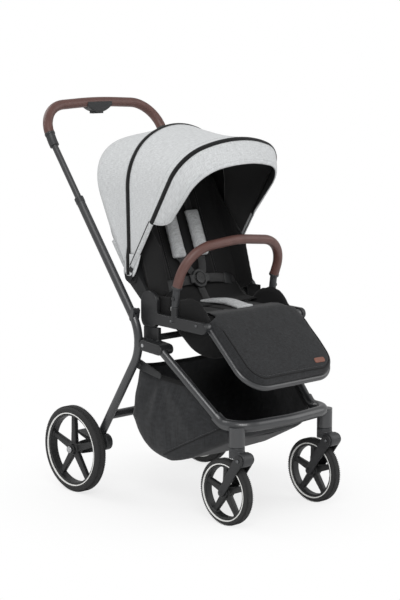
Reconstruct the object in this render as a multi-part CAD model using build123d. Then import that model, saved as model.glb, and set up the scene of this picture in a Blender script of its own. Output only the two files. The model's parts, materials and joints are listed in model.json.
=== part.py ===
"""Baby stroller: folding frame, four wheels, reclining seat, canopy, bumper bar, footrest and basket.

Millimetres, +Z up. The child faces -Y, the child's left is +X, and the floor is z = 0.
Side-view places are (y, z) pairs, and angles in the side view are degrees from +Y towards +Z.
"""

import os
from math import atan2, cos, degrees, hypot, pi, radians, sin, sqrt, tan

from build123d import *

# Wheels
REAR_WHEEL_D = 246.0
REAR_TYRE_W = 34.0
REAR_TYRE_H = 21.0
FRONT_WHEEL_D = 180.0
FRONT_TYRE_W = 30.0
FRONT_TYRE_H = 15.0
FRONT_TRACK = 336.0
WHEELBASE = 537.0
FRONT_AXLE_Y = -325.0
TYRE_SHOULDER = 7.0
TYRE_SIDE_BULGE = 1.2
RIM_BARREL_T = 7.0
RIM_INSET = 3.0
SPOKE_COUNT = 5
SPOKE_ROOT_W = 21.0
SPOKE_TIP_W = 14.0
SPOKE_T = 13.0
WHEEL_HUB_D = 32.0
WHEEL_HUB_PROUD = 1.0
REAR_AXLE_D = 10.0
FRONT_AXLE_D = 8.0
AXLE_HEAD_D = 18.0
AXLE_HEAD_T = 3.0
BOLT_HEAD_D = 14.4
RUNNING_GAP = 0.05
WHEEL_SIDE_GAP = 1.5
WHEEL_INNER_GAP = 5.0

# Casters
CASTER_TRAIL = 38.0
CASTER_SOCKET_D = 42.0
CASTER_SOCKET_LOW = 219.0
CASTER_SEAM = 1.0
CASTER_STEM_D = 12.0
CASTER_STEM_UP = 32.0
CASTER_COLLAR_H = 30.0
FORK_PIVOT_AHEAD = 26.0
FORK_PIVOT_Z = 187.0
FORK_BARREL_D = 38.0
FORK_PIVOT_PIN_D = 8.0
FORK_ARM_T = 6.0
FORK_ARM_TOP_D = 32.0
FORK_ARM_LOW_D = 22.0
FORK_SIDE_GAP = 1.5

# Frame tubes
FRAME_W = 424.0
TUBE_D = 24.0
TUBE_WALL = 1.5
FRONT_LEG_D = 22.0
HUB_Y = -54.0
HUB_Z = 452.0
HUB_D = 30.0
HUB_PIN_D = 10.0
HUB_ELBOW = 62.0
ELBOW_D = 28.0
LUG_T = 8.0
LUG_GAP = 0.5
BEND_AHEAD = 3.0
BEND_ABOVE = 10.0
BEND_R = 118.0
BEND_STUB = 4.0
PUSH_ANGLE = 53.2
REAR_LEG_ANGLE = -57.1
REAR_LEG_LOW_Z = 160.0
FRONT_BAR_D = 30.0
FRONT_BAR_WALL = 3.0
FRONT_BAR_Z = 271.0
FRONT_BAR_AHEAD = 34.0
FRONT_BAR_CORNER_R = 58.0
FRONT_BAR_KNEE_R = 40.0
FRONT_BAR_BOW_R = 302.0
FRONT_JOINT_Y = -290.0
FRONT_JOINT_Z = 289.0
FRONT_JOINT_W = 348.0
REAR_BAR_DROP = 272.0
HOUSING_W = 22.0
HOUSING_D = 46.0
HOUSING_REAR_D = 37.0
HOUSING_AHEAD = 24.0
HOUSING_RISE = 30.0
BRACKET_T = 5.0
BRACKET_LEN = 84.0
BRACKET_H = 30.0
BRACKET_TIP_H = 18.0
BRACKET_DROP = 84.0
BRACKET_DIP = 21.0
BRACKET_STANDOFF = 3.0
BRACKET_BOSS_D = 18.0
CROSS_TUBE_D = 18.0
CROSS_TUBE_AHEAD = 18.0
CROSS_TUBE_ABOVE = 20.0

# Push bar and handle
PUSH_TUBE_LEN = 374.0
KNUCKLE_D = 14.0
KNUCKLE_PIN_D = 6.0
KNUCKLE_OUT = 16.0
KNUCKLE_T = 9.0
KNUCKLE_GAP = 0.4
FOLD_SEAM = 0.6
HANDLE_TUBE_D = 18.0
HANDLE_TUBE_WALL = 1.5
HANDLE_FIT = 0.08
HANDLE_INSERT = 200.0
HANDLE_OUT = 190.0
HANDLE_RISE_ANGLE = 60.0
HANDLE_RISE = 110.0
HANDLE_CORNER_R = 90.0
HANDLE_BOW = 12.0
HANDLE_BOW_R = 1200.0
HANDLE_KINK_R = 110.0
GRIP_D = 28.0
GRIP_START = 22.0
COLLAR_D = 27.0
COLLAR_LEN = 30.0
RELEASE_MOON_W = 108.0
RELEASE_W = 94.0
RELEASE_D = 34.0
RELEASE_DROP = 31.0
RELEASE_BUTTON_W = 40.0
RELEASE_BUTTON_D = 14.4
RELEASE_BUTTON_H = 7.0
RELEASE_TRAVEL = 4.0

# Seat
SEAT_RAIL_T = 14.0
SEAT_RAIL_INSET = 20.0
SEAT_RAIL_H = 32.0
SEAT_RAIL_Z = 523.0
SEAT_HUB_W = 66.0
SEAT_HUB_TOP = 597.0
SEAT_HUB_LOW = 499.0
SEAT_HUB_AHEAD = -10.0
SPIGOT_T = 6.0
SPIGOT_W = 22.0
SPIGOT_LEN = 30.0
SPIGOT_GAP = 0.2
SEAT_BASE_T = 4.0
SEAT_INSET = 34.0
SEAT_CUSHION_T = 28.0
SEAT_CROWN = 9.0
SEAT_DRAW = 5.0
CHANNEL_D = 8.0
BOLSTER_W = 22.0
BOLSTER_H = 66.0
BOLSTER_BACK_Y = -72.0
FOOTREST_Y = -252.0
FOOTREST_Z = 518.0
FOOTREST_ANGLE = 223.3
FOOTREST_LEN = 213.0
FOOTREST_INSET = 13.0
FOOTREST_TUBE_D = 16.0
FOOTREST_WALL = 1.5
FOOTREST_CORNER_R = 70.0
FOOTREST_DISC_D = 26.0
FOOTREST_DISC_T = 20.0
FOOTREST_PIN_D = 8.0
LEG_PAD_INSET = 5.0
LEG_PAD_T = 13.0
LEG_PAD_CROWN = 5.0
LEG_PAD_START = 14.0
LEG_PAD_SHORT = 4.0
LEG_PAD_CORNER = 48.0

# Backrest and harness
RECLINE_Y = -42.0
RECLINE_Z = 545.0
BACK_ANGLE = 21.8
BACK_LEN = 392.0
BACK_FRONT = 5.0
BACK_CUSHION_T = 30.0
BACK_SHELL_T = 8.0
BACK_TOP_R = 90.0
BACK_BAR_T = 9.0
BACK_BAR_D = 28.0
RECLINE_PIN_D = 10.0
BACK_CROWN = 7.0
WING_T = 18.0
WING_DEPTH = 82.0
WING_FOOT = 8.0
WING_LOW = 26.0
WING_TOP = 300.0
CUSHION_DIP = 2.0
STRAP_W = 25.0
STRAP_T = 2.2
STRAP_GAP = 0.4
SHOULDER_X = 43.0
SHOULDER_LOW = 150.0
SHOULDER_TOP = 330.0
SHOULDER_PAD_LEN = 122.0
SHOULDER_PAD_W = 44.0
SHOULDER_PAD_T = 11.0
BUCKLE_D = 54.0
BUCKLE_T = 13.0
BUCKLE_UP = 63.0
BUCKLE_OUT = 15.0
BUCKLE_BUTTON_D = 32.0
BUCKLE_BUTTON_T = 5.0
BUCKLE_TRAVEL = 2.5
CROTCH_BACK = 6.0
CROTCH_PAD_W = 40.0
CROTCH_PAD_T = 8.0
CROTCH_PAD_LEN = 116.0
LEVER_W = 70.0
LEVER_H = 22.0
LEVER_T = 10.0

# Canopy
CANOPY_Y = 40.0
CANOPY_Z = 628.0
CANOPY_T = 3.0
REAR_ARCH_ANGLE = 54.0
CROWN_ARCH_ANGLE = 62.5
MID_ARCH_ANGLE = 88.6
FRONT_ARCH_ANGLE = 122.0
VISOR_ANGLE = 130.6
REAR_ARCH_H = 268.0
CROWN_ARCH_H = 403.0
MID_ARCH_H = 407.0
FRONT_ARCH_H = 445.0
VISOR_H = 413.0
REAR_ARCH_OUT = 3.0
CROWN_ARCH_OUT = 8.0
MID_ARCH_OUT = 6.0
FRONT_ARCH_OUT = 11.0
VISOR_IN = 26.0
VISOR_FOOT = 186.0
VISOR_RISE = 28.0
VISOR_CORNER_IN = 66.0
CANOPY_FOOT = 44.0
BOW_W = 13.0
BOW_PROUD = 1.5
REAR_TOP_OUT = 22.0
REAR_CORNER_IN = 53.0
CROWN_TOP_OUT = 212.0
CROWN_CORNER_IN = 46.0
MID_TOP_OUT = 29.0
MID_CORNER_IN = 26.0
FRONT_TOP_OUT = 149.0
FRONT_CORNER_IN = 81.0
CURTAIN_FOOT = 90.0
CANOPY_PIN_D = 8.0
CANOPY_MOUNT_D = 46.0
CANOPY_MOUNT_T = 2.5
CANOPY_HUB_D = 30.0
CANOPY_LAYER_GAP = 0.4
POST_START = 48.0
POST_END = 112.0
POST_W = 10.0
SOFT_GAP = 1.0

# Bumper bar
BUMPER_Y = -142.0
BUMPER_INSET = 6.0
BUMPER_SOCKET_H = 24.0
BUMPER_SOCKET_D = 22.0
BUMPER_STEM_D = 14.0
BUMPER_STEM_LEN = 30.0
BUMPER_CONNECTOR_D = 20.0
BUMPER_CONNECTOR_LEN = 52.0
CONNECTOR_ANGLE = 98.0
BUMPER_ANGLE = 111.0
BUMPER_RISE = 110.0
BUMPER_CORNER_R = 92.0
BUMPER_BOW = 18.0
BUMPER_BOW_R = 368.0
BUMPER_D = 26.0
BUMPER_FOAM_T = 5.0
BUTTON_D = 11.0
BUTTON_UP = 23.4
BUTTON_T = 4.0
BUTTON_PROUD = 2.0

# Basket
BASKET_T = 3.0
BASKET_INSET = 14.0
BASKET_NOSE_IN = 43.0
BASKET_FLOOR_IN = 36.0
BASKET_FLOOR_Z = 128.0
BASKET_RIM_Z = 363.0
BASKET_RISE = 21.0
BASKET_BACK_Y = 46.0
BASKET_NOSE_Y = -326.0
BASKET_HEEL = 75.0
BASKET_HEEL_H = 98.0
BASKET_BELLY = 42.0
BASKET_SLOPE = 205.0
BASKET_NOSE_H = 30.0
BASKET_SHOULDER_Y = -205.0

# Brake
PEDAL_LEN = 78.0
PEDAL_W = 46.0
PEDAL_T = 8.0
PEDAL_BOSS_D = 20.0
PEDAL_PIN_D = 8.0

SIDES = {"right": -1, "left": 1}
STANDING = (Align.CENTER, Align.CENTER, Align.MIN)
HANGING = (Align.CENTER, Align.CENTER, Align.MAX)
nodes = {}


def step_from(start, angle, distance):
    """The (y, z) place at a distance from another along an angle of the side view."""
    return (start[0] + distance * cos(radians(angle)), start[1] + distance * sin(radians(angle)))


def bar(points, diameter, radii=None):
    """A solid round bar along straight runs joined by arcs."""
    path = FilletPolyline(*points, radius=radii) if radii else Polyline(*points)
    end = Plane(origin=path @ 0, z_dir=path % 0)
    return sweep(end * Circle(diameter / 2), path=path)


def tube(points, diameter, wall, radii=None):
    """A round tube along straight runs joined by arcs."""
    return bar(points, diameter, radii) - bar(points, diameter - 2 * wall, radii)


def pin(place, diameter, x_start, x_end):
    """A round pin along X at a (y, z) place."""
    base = Plane(origin=(x_start, place[0], place[1]), x_dir=(0, 1, 0), z_dir=(1, 0, 0))
    return extrude(base * Circle(diameter / 2), x_end - x_start)


def plate(outline, x_start, x_end):
    """A plate between two X values, from an outline drawn in (y, z)."""
    base = Plane(origin=(x_start, 0, 0), x_dir=(0, 1, 0), z_dir=(1, 0, 0))
    return extrude(base * outline, x_end - x_start)


def link(start, end, start_d, end_d, x_start, x_end):
    """A link with two round ends, which may differ in size."""
    length = hypot(end[0] - start[0], end[1] - start[1])
    angle = degrees(atan2(end[1] - start[1], end[0] - start[0]))
    lean = degrees(atan2((start_d - end_d) / 2, length))
    side = 90 - lean
    corners = [
        step_from(start, angle + side, start_d / 2),
        step_from(start, angle - side, start_d / 2),
        step_from(end, angle - side, end_d / 2),
        step_from(end, angle + side, end_d / 2),
    ]
    outline = make_face(Polyline(*corners, close=True))
    outline += Pos(start[0], start[1]) * Circle(start_d / 2)
    outline += Pos(end[0], end[1]) * Circle(end_d / 2)
    return plate(outline, x_start, x_end)


def other_side(shape):
    """The same piece on the other side of the stroller."""
    return mirror(shape, about=Plane.YZ)


def pair(name, shape):
    """Keep a piece made for the left side, and its mirror image for the right side."""
    nodes[name + "_left"] = shape
    nodes[name + "_right"] = other_side(shape)


# Places that the pieces share
half_frame = FRAME_W / 2
hub = (HUB_Y, HUB_Z)
rear_axle = (FRONT_AXLE_Y + WHEELBASE, REAR_WHEEL_D / 2)
front_axle = (FRONT_AXLE_Y, FRONT_WHEEL_D / 2)
caster_y = FRONT_AXLE_Y - CASTER_TRAIL
half_front_track = FRONT_TRACK / 2
half_rear_track = half_frame + HOUSING_W / 2 + WHEEL_INNER_GAP + WHEEL_HUB_PROUD + REAR_TYRE_W / 2
bend = (HUB_Y + BEND_AHEAD, HUB_Z + BEND_ABOVE)
bend_turn = PUSH_ANGLE - REAR_LEG_ANGLE
bend_run = BEND_R * tan(radians(180 - bend_turn) / 2) + BEND_STUB
leg_top = step_from(bend, PUSH_ANGLE, bend_run)
leg_run = (bend[1] - REAR_LEG_LOW_Z) / sin(radians(-REAR_LEG_ANGLE))
leg_low = step_from(bend, REAR_LEG_ANGLE, leg_run)
fold_pivot = step_from(leg_top, PUSH_ANGLE + 90, KNUCKLE_OUT)
tube_inner = half_frame - TUBE_D / 2
side_inner = half_frame - TUBE_D / 2 - LUG_GAP
front_bar_y = caster_y - FRONT_BAR_AHEAD
seat_rail_out = half_frame - SEAT_RAIL_INSET
seat_rail_in = seat_rail_out - SEAT_RAIL_T
bumper_x = seat_rail_in + BUMPER_INSET
footrest = (FOOTREST_Y, FOOTREST_Z)


def make_tyre(diameter, height, width):
    """A tyre with slightly bulged sides and a crowned tread, centred on the X axis."""
    outer = diameter / 2
    seat = outer - height
    half = width / 2 - TYRE_SIDE_BULGE
    shoulder = outer - TYRE_SHOULDER
    edges = [
        Line((-half, seat), (half, seat)),
        ThreePointArc((half, seat), (width / 2, (seat + shoulder) / 2), (half, shoulder)),
        ThreePointArc((half, shoulder), (0, outer), (-half, shoulder)),
        ThreePointArc((-half, shoulder), (-width / 2, (seat + shoulder) / 2), (-half, seat)),
    ]
    return revolve(make_face(edges), axis=Axis.X)


def make_rim(diameter, height, width, axle_d):
    """A five-spoke rim: barrel, hub with its running bore, and tapered spokes."""
    seat = diameter / 2 - height
    half = width / 2 - RIM_INSET
    barrel = pin((0, 0), 2 * seat, -half, half) - pin((0, 0), 2 * (seat - RIM_BARREL_T), -half, half)
    hub_half = width / 2 + WHEEL_HUB_PROUD
    rim = barrel + pin((0, 0), WHEEL_HUB_D, -hub_half, hub_half)
    root = WHEEL_HUB_D / 4
    tip = seat - RIM_BARREL_T / 2
    outline = Polyline(
        (root, -SPOKE_ROOT_W / 2),
        (tip, -SPOKE_TIP_W / 2),
        (tip, SPOKE_TIP_W / 2),
        (root, SPOKE_ROOT_W / 2),
        close=True,
    )
    spoke = plate(make_face(outline), -SPOKE_T / 2, SPOKE_T / 2)
    for index in range(SPOKE_COUNT):
        rim += Rot(90 + index * 360 / SPOKE_COUNT, 0, 0) * spoke
    return rim - pin((0, 0), axle_d + 2 * RUNNING_GAP, -width, width)


# Rear wheels, axles and housings
rear_tyre = make_tyre(REAR_WHEEL_D, REAR_TYRE_H, REAR_TYRE_W)
rear_rim = make_rim(REAR_WHEEL_D, REAR_TYRE_H, REAR_TYRE_W, REAR_AXLE_D)
front_tyre = make_tyre(FRONT_WHEEL_D, FRONT_TYRE_H, FRONT_TYRE_W)
front_rim = make_rim(FRONT_WHEEL_D, FRONT_TYRE_H, FRONT_TYRE_W, FRONT_AXLE_D)
for side, sign in SIDES.items():
    rear_place = Pos(sign * half_rear_track, *rear_axle)
    front_place = Pos(sign * half_front_track, *front_axle)
    nodes[f"rear_tyre_{side}"] = rear_place * rear_tyre
    nodes[f"rear_rim_{side}"] = rear_place * rear_rim
    nodes[f"front_tyre_{side}"] = front_place * front_tyre
    nodes[f"front_rim_{side}"] = front_place * front_rim

leg_points = [(half_frame, *leg_top), (half_frame, *bend), (half_frame, *leg_low)]
leg_solid = bar(leg_points, TUBE_D, [BEND_R])
rear_wheel_out = half_rear_track + REAR_TYRE_W / 2 + WHEEL_HUB_PROUD + WHEEL_SIDE_GAP
housing_in = half_frame - HOUSING_W / 2
axle = pin(rear_axle, REAR_AXLE_D, housing_in, rear_wheel_out)
axle += pin(rear_axle, AXLE_HEAD_D, rear_wheel_out, rear_wheel_out + AXLE_HEAD_T)
nodes["rear_axles"] = Compound([axle.solid(), other_side(axle).solid()])

housing_front = (leg_low[0] - HOUSING_AHEAD, rear_axle[1] + HOUSING_RISE)
housing_run = rear_axle[0] - housing_front[0]
housing = link(housing_front, rear_axle, HOUSING_D, HOUSING_REAR_D, housing_in, half_frame + HOUSING_W / 2)
pedal_pin_place = (rear_axle[0] - housing_run / 3, rear_axle[1] + HOUSING_RISE / 2)
housing -= leg_solid
housing -= axle
pair("rear_axle_housing", housing)

# Rear legs: each a bent tube with a lug at the fold hub and two hinge knuckles at its top
lug_in = side_inner - LUG_T
leg = tube(leg_points, TUBE_D, TUBE_WALL, [BEND_R])
lug_root = (bend[0] + BEND_R / 4, HUB_Z)
lug = link(hub, lug_root, HUB_D, HUB_D, lug_in, side_inner)
lug += pin(lug_root, HUB_D, lug_in, half_frame)
leg += lug - bar(leg_points, TUBE_D - TUBE_WALL, [BEND_R])
leg -= pin(hub, HUB_PIN_D + 2 * RUNNING_GAP, lug_in - 1, half_frame)
knuckle_half = KNUCKLE_T / 2 + KNUCKLE_GAP
knuckle_root = step_from(leg_top, PUSH_ANGLE + 180, KNUCKLE_D)
push_dir = (0, cos(radians(PUSH_ANGLE)), sin(radians(PUSH_ANGLE)))
top_plane = Plane(origin=(half_frame, *leg_top), x_dir=(1, 0, 0), z_dir=push_dir)
above_leg = extrude(top_plane * Rectangle(4 * TUBE_D, 4 * TUBE_D), 2 * TUBE_D)
for start, end in ((-TUBE_D / 2, -knuckle_half), (knuckle_half, TUBE_D / 2)):
    web = link(fold_pivot, knuckle_root, KNUCKLE_D, KNUCKLE_D, half_frame + start, half_frame + end)
    leg += web - above_leg - bar(leg_points, TUBE_D - TUBE_WALL, [BEND_R])
    leg += pin(fold_pivot, KNUCKLE_D, half_frame + start, half_frame + end)
leg -= pin(fold_pivot, KNUCKLE_D + 2 * KNUCKLE_GAP, half_frame - knuckle_half, half_frame + knuckle_half)
leg += pin(fold_pivot, KNUCKLE_PIN_D, half_frame - TUBE_D / 2, half_frame + TUBE_D / 2)
pair("rear_leg", leg)

rear_bar_place = step_from(bend, REAR_LEG_ANGLE, REAR_BAR_DROP)
rear_bar = tube([(-half_frame, *rear_bar_place), (half_frame, *rear_bar_place)], TUBE_D, TUBE_WALL)
nodes["rear_cross_bar"] = rear_bar - leg_solid - other_side(leg_solid)

bracket_root = step_from(bend, REAR_LEG_ANGLE, BRACKET_DROP)
bracket_tip = (bracket_root[0] - BRACKET_LEN, bracket_root[1] - BRACKET_DIP)
bracket_out = tube_inner - BRACKET_STANDOFF
bracket = link(bracket_root, bracket_tip, BRACKET_H, BRACKET_TIP_H, bracket_out - BRACKET_T, bracket_out)
bracket += pin(bracket_root, BRACKET_BOSS_D, bracket_out, half_frame) - leg_solid
nodes["basket_brackets"] = Compound([bracket.solid(), other_side(bracket).solid()])

# Brake pedal on the inner side of the right rear housing
pedal_out = -housing_in + LUG_GAP
pedal_tip = (pedal_pin_place[0] + PEDAL_LEN, pedal_pin_place[1] + PEDAL_LEN / 4)
pedal = link(pedal_pin_place, pedal_tip, PEDAL_BOSS_D, PEDAL_T, pedal_out, pedal_out + PEDAL_W)
pedal_end = pedal_out + PEDAL_W + LUG_GAP
pedal -= pin(pedal_pin_place, PEDAL_PIN_D + 2 * RUNNING_GAP, pedal_out - LUG_GAP, pedal_end)
nodes["brake_pedal"] = pedal
pedal_pin = pin(pedal_pin_place, PEDAL_PIN_D, -housing_in - LUG_GAP, pedal_end)
pedal_pin += pin(pedal_pin_place, PEDAL_BOSS_D, pedal_end, pedal_end + AXLE_HEAD_T)
nodes["rear_axle_housing_right"] += pedal_pin

# Casters: a swivel block under each socket, and a sprung fork on the block's cross pin
arm_in = FRONT_TYRE_W / 2 + WHEEL_HUB_PROUD + FORK_SIDE_GAP
arm_out = arm_in + FORK_ARM_T
fork_pivot = (caster_y - FORK_PIVOT_AHEAD, FORK_PIVOT_Z)
collar_top = CASTER_SOCKET_LOW - CASTER_SEAM
caster_axis = Pos(half_front_track, caster_y, 0)
block = Pos(0, 0, collar_top - CASTER_COLLAR_H) * extrude(Circle(CASTER_SOCKET_D / 2), CASTER_COLLAR_H)
barrel_top = FORK_PIVOT_Z + FORK_BARREL_D / 2
flat_depth = barrel_top - collar_top + CASTER_COLLAR_H + RUNNING_GAP
for sign in SIDES.values():
    flat_place = sign * (arm_in - LUG_GAP + CASTER_SOCKET_D / 2)
    flat_z = collar_top - CASTER_COLLAR_H + flat_depth / 2
    block -= Pos(flat_place, 0, flat_z) * Box(CASTER_SOCKET_D, 2 * CASTER_SOCKET_D, flat_depth)
block = caster_axis * block
block_half = arm_in - LUG_GAP
block += pin(fork_pivot, FORK_BARREL_D, half_front_track - block_half, half_front_track + block_half)
stem = extrude(Circle(CASTER_STEM_D / 2), CASTER_STEM_UP + CASTER_SEAM)
block += caster_axis * Pos(0, 0, collar_top) * stem
fork_pin = pin(fork_pivot, FORK_PIVOT_PIN_D, half_front_track - arm_out, half_front_track + arm_out)
pair("caster_block", block + fork_pin)

axle_half = arm_out + AXLE_HEAD_T
axle = pin(front_axle, FRONT_AXLE_D, half_front_track - axle_half, half_front_track + axle_half)
for start in (-axle_half, arm_out):
    head_start = half_front_track + start
    axle += pin(front_axle, BOLT_HEAD_D, head_start, head_start + AXLE_HEAD_T)
fork = []
for start in (-arm_out, arm_in):
    arm_start = half_front_track + start
    arm = link(fork_pivot, front_axle, FORK_ARM_TOP_D, FORK_ARM_LOW_D, arm_start, arm_start + FORK_ARM_T)
    arm -= pin(fork_pivot, FORK_PIVOT_PIN_D + 2 * RUNNING_GAP, arm_start, arm_start + FORK_ARM_T)
    fork.append((arm - axle).solid())
pair("caster_fork", Compound(fork + [axle.solid()]))

# Front bar: a bowed tube with a caster socket under each corner, and the front legs into its ends
leg_joint = (FRONT_JOINT_W / 2, FRONT_JOINT_Y, FRONT_JOINT_Z)
elbow = (HUB_Y - HUB_ELBOW, HUB_Z - FRONT_LEG_D / 4)
leg_start = Vector(half_frame, *elbow)
leg_dir = (Vector(*leg_joint) - leg_start).normalized()
knee_run = (FRONT_JOINT_Z - FRONT_BAR_Z) / -leg_dir.Z
bar_knee = Vector(*leg_joint) + leg_dir * knee_run
corner = (half_front_track, front_bar_y + FRONT_BAR_AHEAD / 2, FRONT_BAR_Z)
half_points = [leg_joint, tuple(bar_knee), corner]
bar_points = half_points + [(0, front_bar_y, FRONT_BAR_Z)]
bar_points += [(-x, y, z) for x, y, z in reversed(half_points)]
bar_radii = [FRONT_BAR_KNEE_R, FRONT_BAR_CORNER_R, FRONT_BAR_BOW_R, FRONT_BAR_CORNER_R, FRONT_BAR_KNEE_R]
front_bar_solid = bar(bar_points, FRONT_BAR_D, bar_radii)
socket = extrude(Circle(CASTER_SOCKET_D / 2), FRONT_BAR_Z - CASTER_SOCKET_LOW)
socket = caster_axis * Pos(0, 0, CASTER_SOCKET_LOW) * socket
front_bar = front_bar_solid + socket + other_side(socket)
front_bar -= bar(bar_points, FRONT_BAR_D - 2 * FRONT_BAR_WALL, bar_radii)
stem_room = Circle(CASTER_STEM_D / 2 + RUNNING_GAP)
stem_bore = caster_axis * Pos(0, 0, CASTER_SOCKET_LOW) * extrude(stem_room, CASTER_STEM_UP + CASTER_SEAM)
nodes["front_bar"] = front_bar - stem_bore - other_side(stem_bore)

front_leg_points = [tuple(leg_start), leg_joint]
front_leg_solid = bar(front_leg_points, FRONT_LEG_D)
front_leg = tube(front_leg_points, FRONT_LEG_D, TUBE_WALL)
pair("front_leg", front_leg - front_bar_solid)

# Fold hubs: each an elbow on the front leg, a cheek either side of the rear leg's lug, and the seat socket
cheek_out = lug_in - LUG_GAP
socket_top = SEAT_HUB_LOW
seat_hub_y = HUB_Y - SEAT_HUB_AHEAD
spigot_x = (seat_rail_in + seat_rail_out) / 2
fold_hub = link(hub, elbow, HUB_D, ELBOW_D, tube_inner + LUG_GAP, half_frame + TUBE_D / 2)
fold_hub += link(hub, elbow, HUB_D, ELBOW_D, seat_rail_in, cheek_out)
bridge_rear = (HUB_Y - HUB_D / 2 - 2 * LUG_GAP - FRONT_LEG_D / 2, HUB_Z)
fold_hub += link(bridge_rear, elbow, FRONT_LEG_D, ELBOW_D, seat_rail_in, half_frame)
block_front = HUB_Y - CROSS_TUBE_AHEAD - CROSS_TUBE_D / 2
block_back = seat_hub_y + SEAT_HUB_W / 3
block_depth = block_back - block_front
block_h = socket_top - HUB_Z
socket_block = Box(cheek_out - seat_rail_in, block_depth, block_h, align=(Align.MIN, Align.MIN, Align.MIN))
fold_hub += Pos(seat_rail_in, block_front, HUB_Z) * socket_block
pocket = Box(SPIGOT_T + 2 * SPIGOT_GAP, SPIGOT_W + 2 * SPIGOT_GAP, SPIGOT_LEN + SPIGOT_GAP)
fold_hub -= Pos(spigot_x, seat_hub_y, socket_top - (SPIGOT_LEN + SPIGOT_GAP) / 2) * pocket
fold_hub -= front_leg_solid
hub_pin = pin(hub, HUB_PIN_D, seat_rail_in, half_frame + TUBE_D / 2)
pair("fold_hub", fold_hub - hub_pin)
nodes["fold_hub_pins"] = Compound([hub_pin.solid(), other_side(hub_pin).solid()])

cross_place = (HUB_Y - CROSS_TUBE_AHEAD, HUB_Z + CROSS_TUBE_ABOVE)
cross_ends = [(-seat_rail_in, *cross_place), (seat_rail_in, *cross_place)]
nodes["cross_tube"] = tube(cross_ends, CROSS_TUBE_D, TUBE_WALL)

# Push tubes: each hinged at the front of the rear leg's top, and open at its upper end for the handle
push_low = step_from(leg_top, PUSH_ANGLE, FOLD_SEAM)
push_top = step_from(leg_top, PUSH_ANGLE, PUSH_TUBE_LEN)
push_points = [(half_frame, *push_low), (half_frame, *push_top)]
push_bore = bar(push_points, HANDLE_TUBE_D + 2 * HANDLE_FIT)
push_tube = bar(push_points, TUBE_D)
tongue_root = step_from(leg_top, PUSH_ANGLE, KNUCKLE_D)
tongue_low = half_frame - KNUCKLE_T / 2
tongue = link(fold_pivot, tongue_root, KNUCKLE_D, KNUCKLE_D, tongue_low, tongue_low + KNUCKLE_T)
low_plane = Plane(origin=(half_frame, *push_low), x_dir=(1, 0, 0), z_dir=push_dir)
tongue -= extrude(low_plane * Rectangle(4 * TUBE_D, 4 * TUBE_D), -2 * TUBE_D)
push_tube += tongue + pin(fold_pivot, KNUCKLE_D, tongue_low, tongue_low + KNUCKLE_T)
for start, end in ((-TUBE_D / 2, -knuckle_half + KNUCKLE_GAP), (knuckle_half - KNUCKLE_GAP, TUBE_D / 2)):
    push_tube -= pin(fold_pivot, KNUCKLE_D + 2 * KNUCKLE_GAP, half_frame + start, half_frame + end)
push_tube -= push_bore
push_tube -= pin(fold_pivot, KNUCKLE_PIN_D + 2 * RUNNING_GAP, half_frame - TUBE_D, half_frame + TUBE_D)
pair("push_tube", push_tube)

# Handle: a bent inner tube that slides in the push tubes, a grip over its bow, and a release unit
handle_low = step_from(leg_top, PUSH_ANGLE, PUSH_TUBE_LEN - HANDLE_INSERT)
handle_kink = step_from(leg_top, PUSH_ANGLE, PUSH_TUBE_LEN + HANDLE_OUT)
handle_corner = step_from(handle_kink, HANDLE_RISE_ANGLE, HANDLE_RISE)
handle_mid = step_from(handle_corner, HANDLE_RISE_ANGLE, HANDLE_BOW)
grip_start = step_from(handle_kink, HANDLE_RISE_ANGLE, GRIP_START)


def across(half_run, middle):
    """A route from the left side over the middle to the right side."""
    route = [(half_frame, *place) for place in half_run]
    return route + [(0, *middle)] + [(-x, y, z) for x, y, z in reversed(route)]


handle_points = across([handle_low, handle_kink, handle_corner], handle_mid)
handle_radii = [HANDLE_KINK_R, HANDLE_CORNER_R, HANDLE_BOW_R, HANDLE_CORNER_R, HANDLE_KINK_R]
nodes["handle_tube"] = tube(handle_points, HANDLE_TUBE_D, HANDLE_TUBE_WALL, handle_radii)
grip_points = across([grip_start, handle_corner], handle_mid)
grip_radii = [HANDLE_CORNER_R, HANDLE_BOW_R, HANDLE_CORNER_R]
nodes["handle_grip"] = tube(grip_points, GRIP_D, (GRIP_D - HANDLE_TUBE_D) / 2, grip_radii)
collar_low = step_from(handle_kink, PUSH_ANGLE, -COLLAR_LEN / 2)
collar_points = [(half_frame, *place) for place in (collar_low, handle_kink, grip_start)]
collar = tube(collar_points, COLLAR_D, (COLLAR_D - HANDLE_TUBE_D) / 2, [HANDLE_KINK_R])
nodes["handle_collars"] = Compound([collar.solid(), other_side(collar).solid()])

half_moon = RELEASE_MOON_W / 2
release_low = handle_mid[1] - RELEASE_DROP
moon_arc = ThreePointArc((half_moon, 0), (0, -RELEASE_DROP), (-half_moon, 0))
moon = make_face([Line((-half_moon, 0), (half_moon, 0)), moon_arc])
moon &= Rectangle(RELEASE_W, 2 * RELEASE_DROP)
release_back = (0, handle_mid[0] + RELEASE_D / 2, handle_mid[1])
release = extrude(Plane(origin=release_back, x_dir=(1, 0, 0), z_dir=(0, -1, 0)) * moon, RELEASE_D)
release -= bar(grip_points, GRIP_D, grip_radii)
button_h = RELEASE_BUTTON_H + RELEASE_TRAVEL
button = Box(RELEASE_BUTTON_W, RELEASE_BUTTON_D, button_h, align=STANDING)
room_w = RELEASE_BUTTON_W + 2 * LUG_GAP
room_d = RELEASE_BUTTON_D + 2 * LUG_GAP
room = Box(room_w, room_d, button_h + LUG_GAP, align=STANDING)
release -= Pos(0, handle_mid[0], release_low) * room
nodes["release_housing"] = release
nodes["release_button"] = Pos(0, handle_mid[0], release_low - RELEASE_TRAVEL) * button

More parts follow.
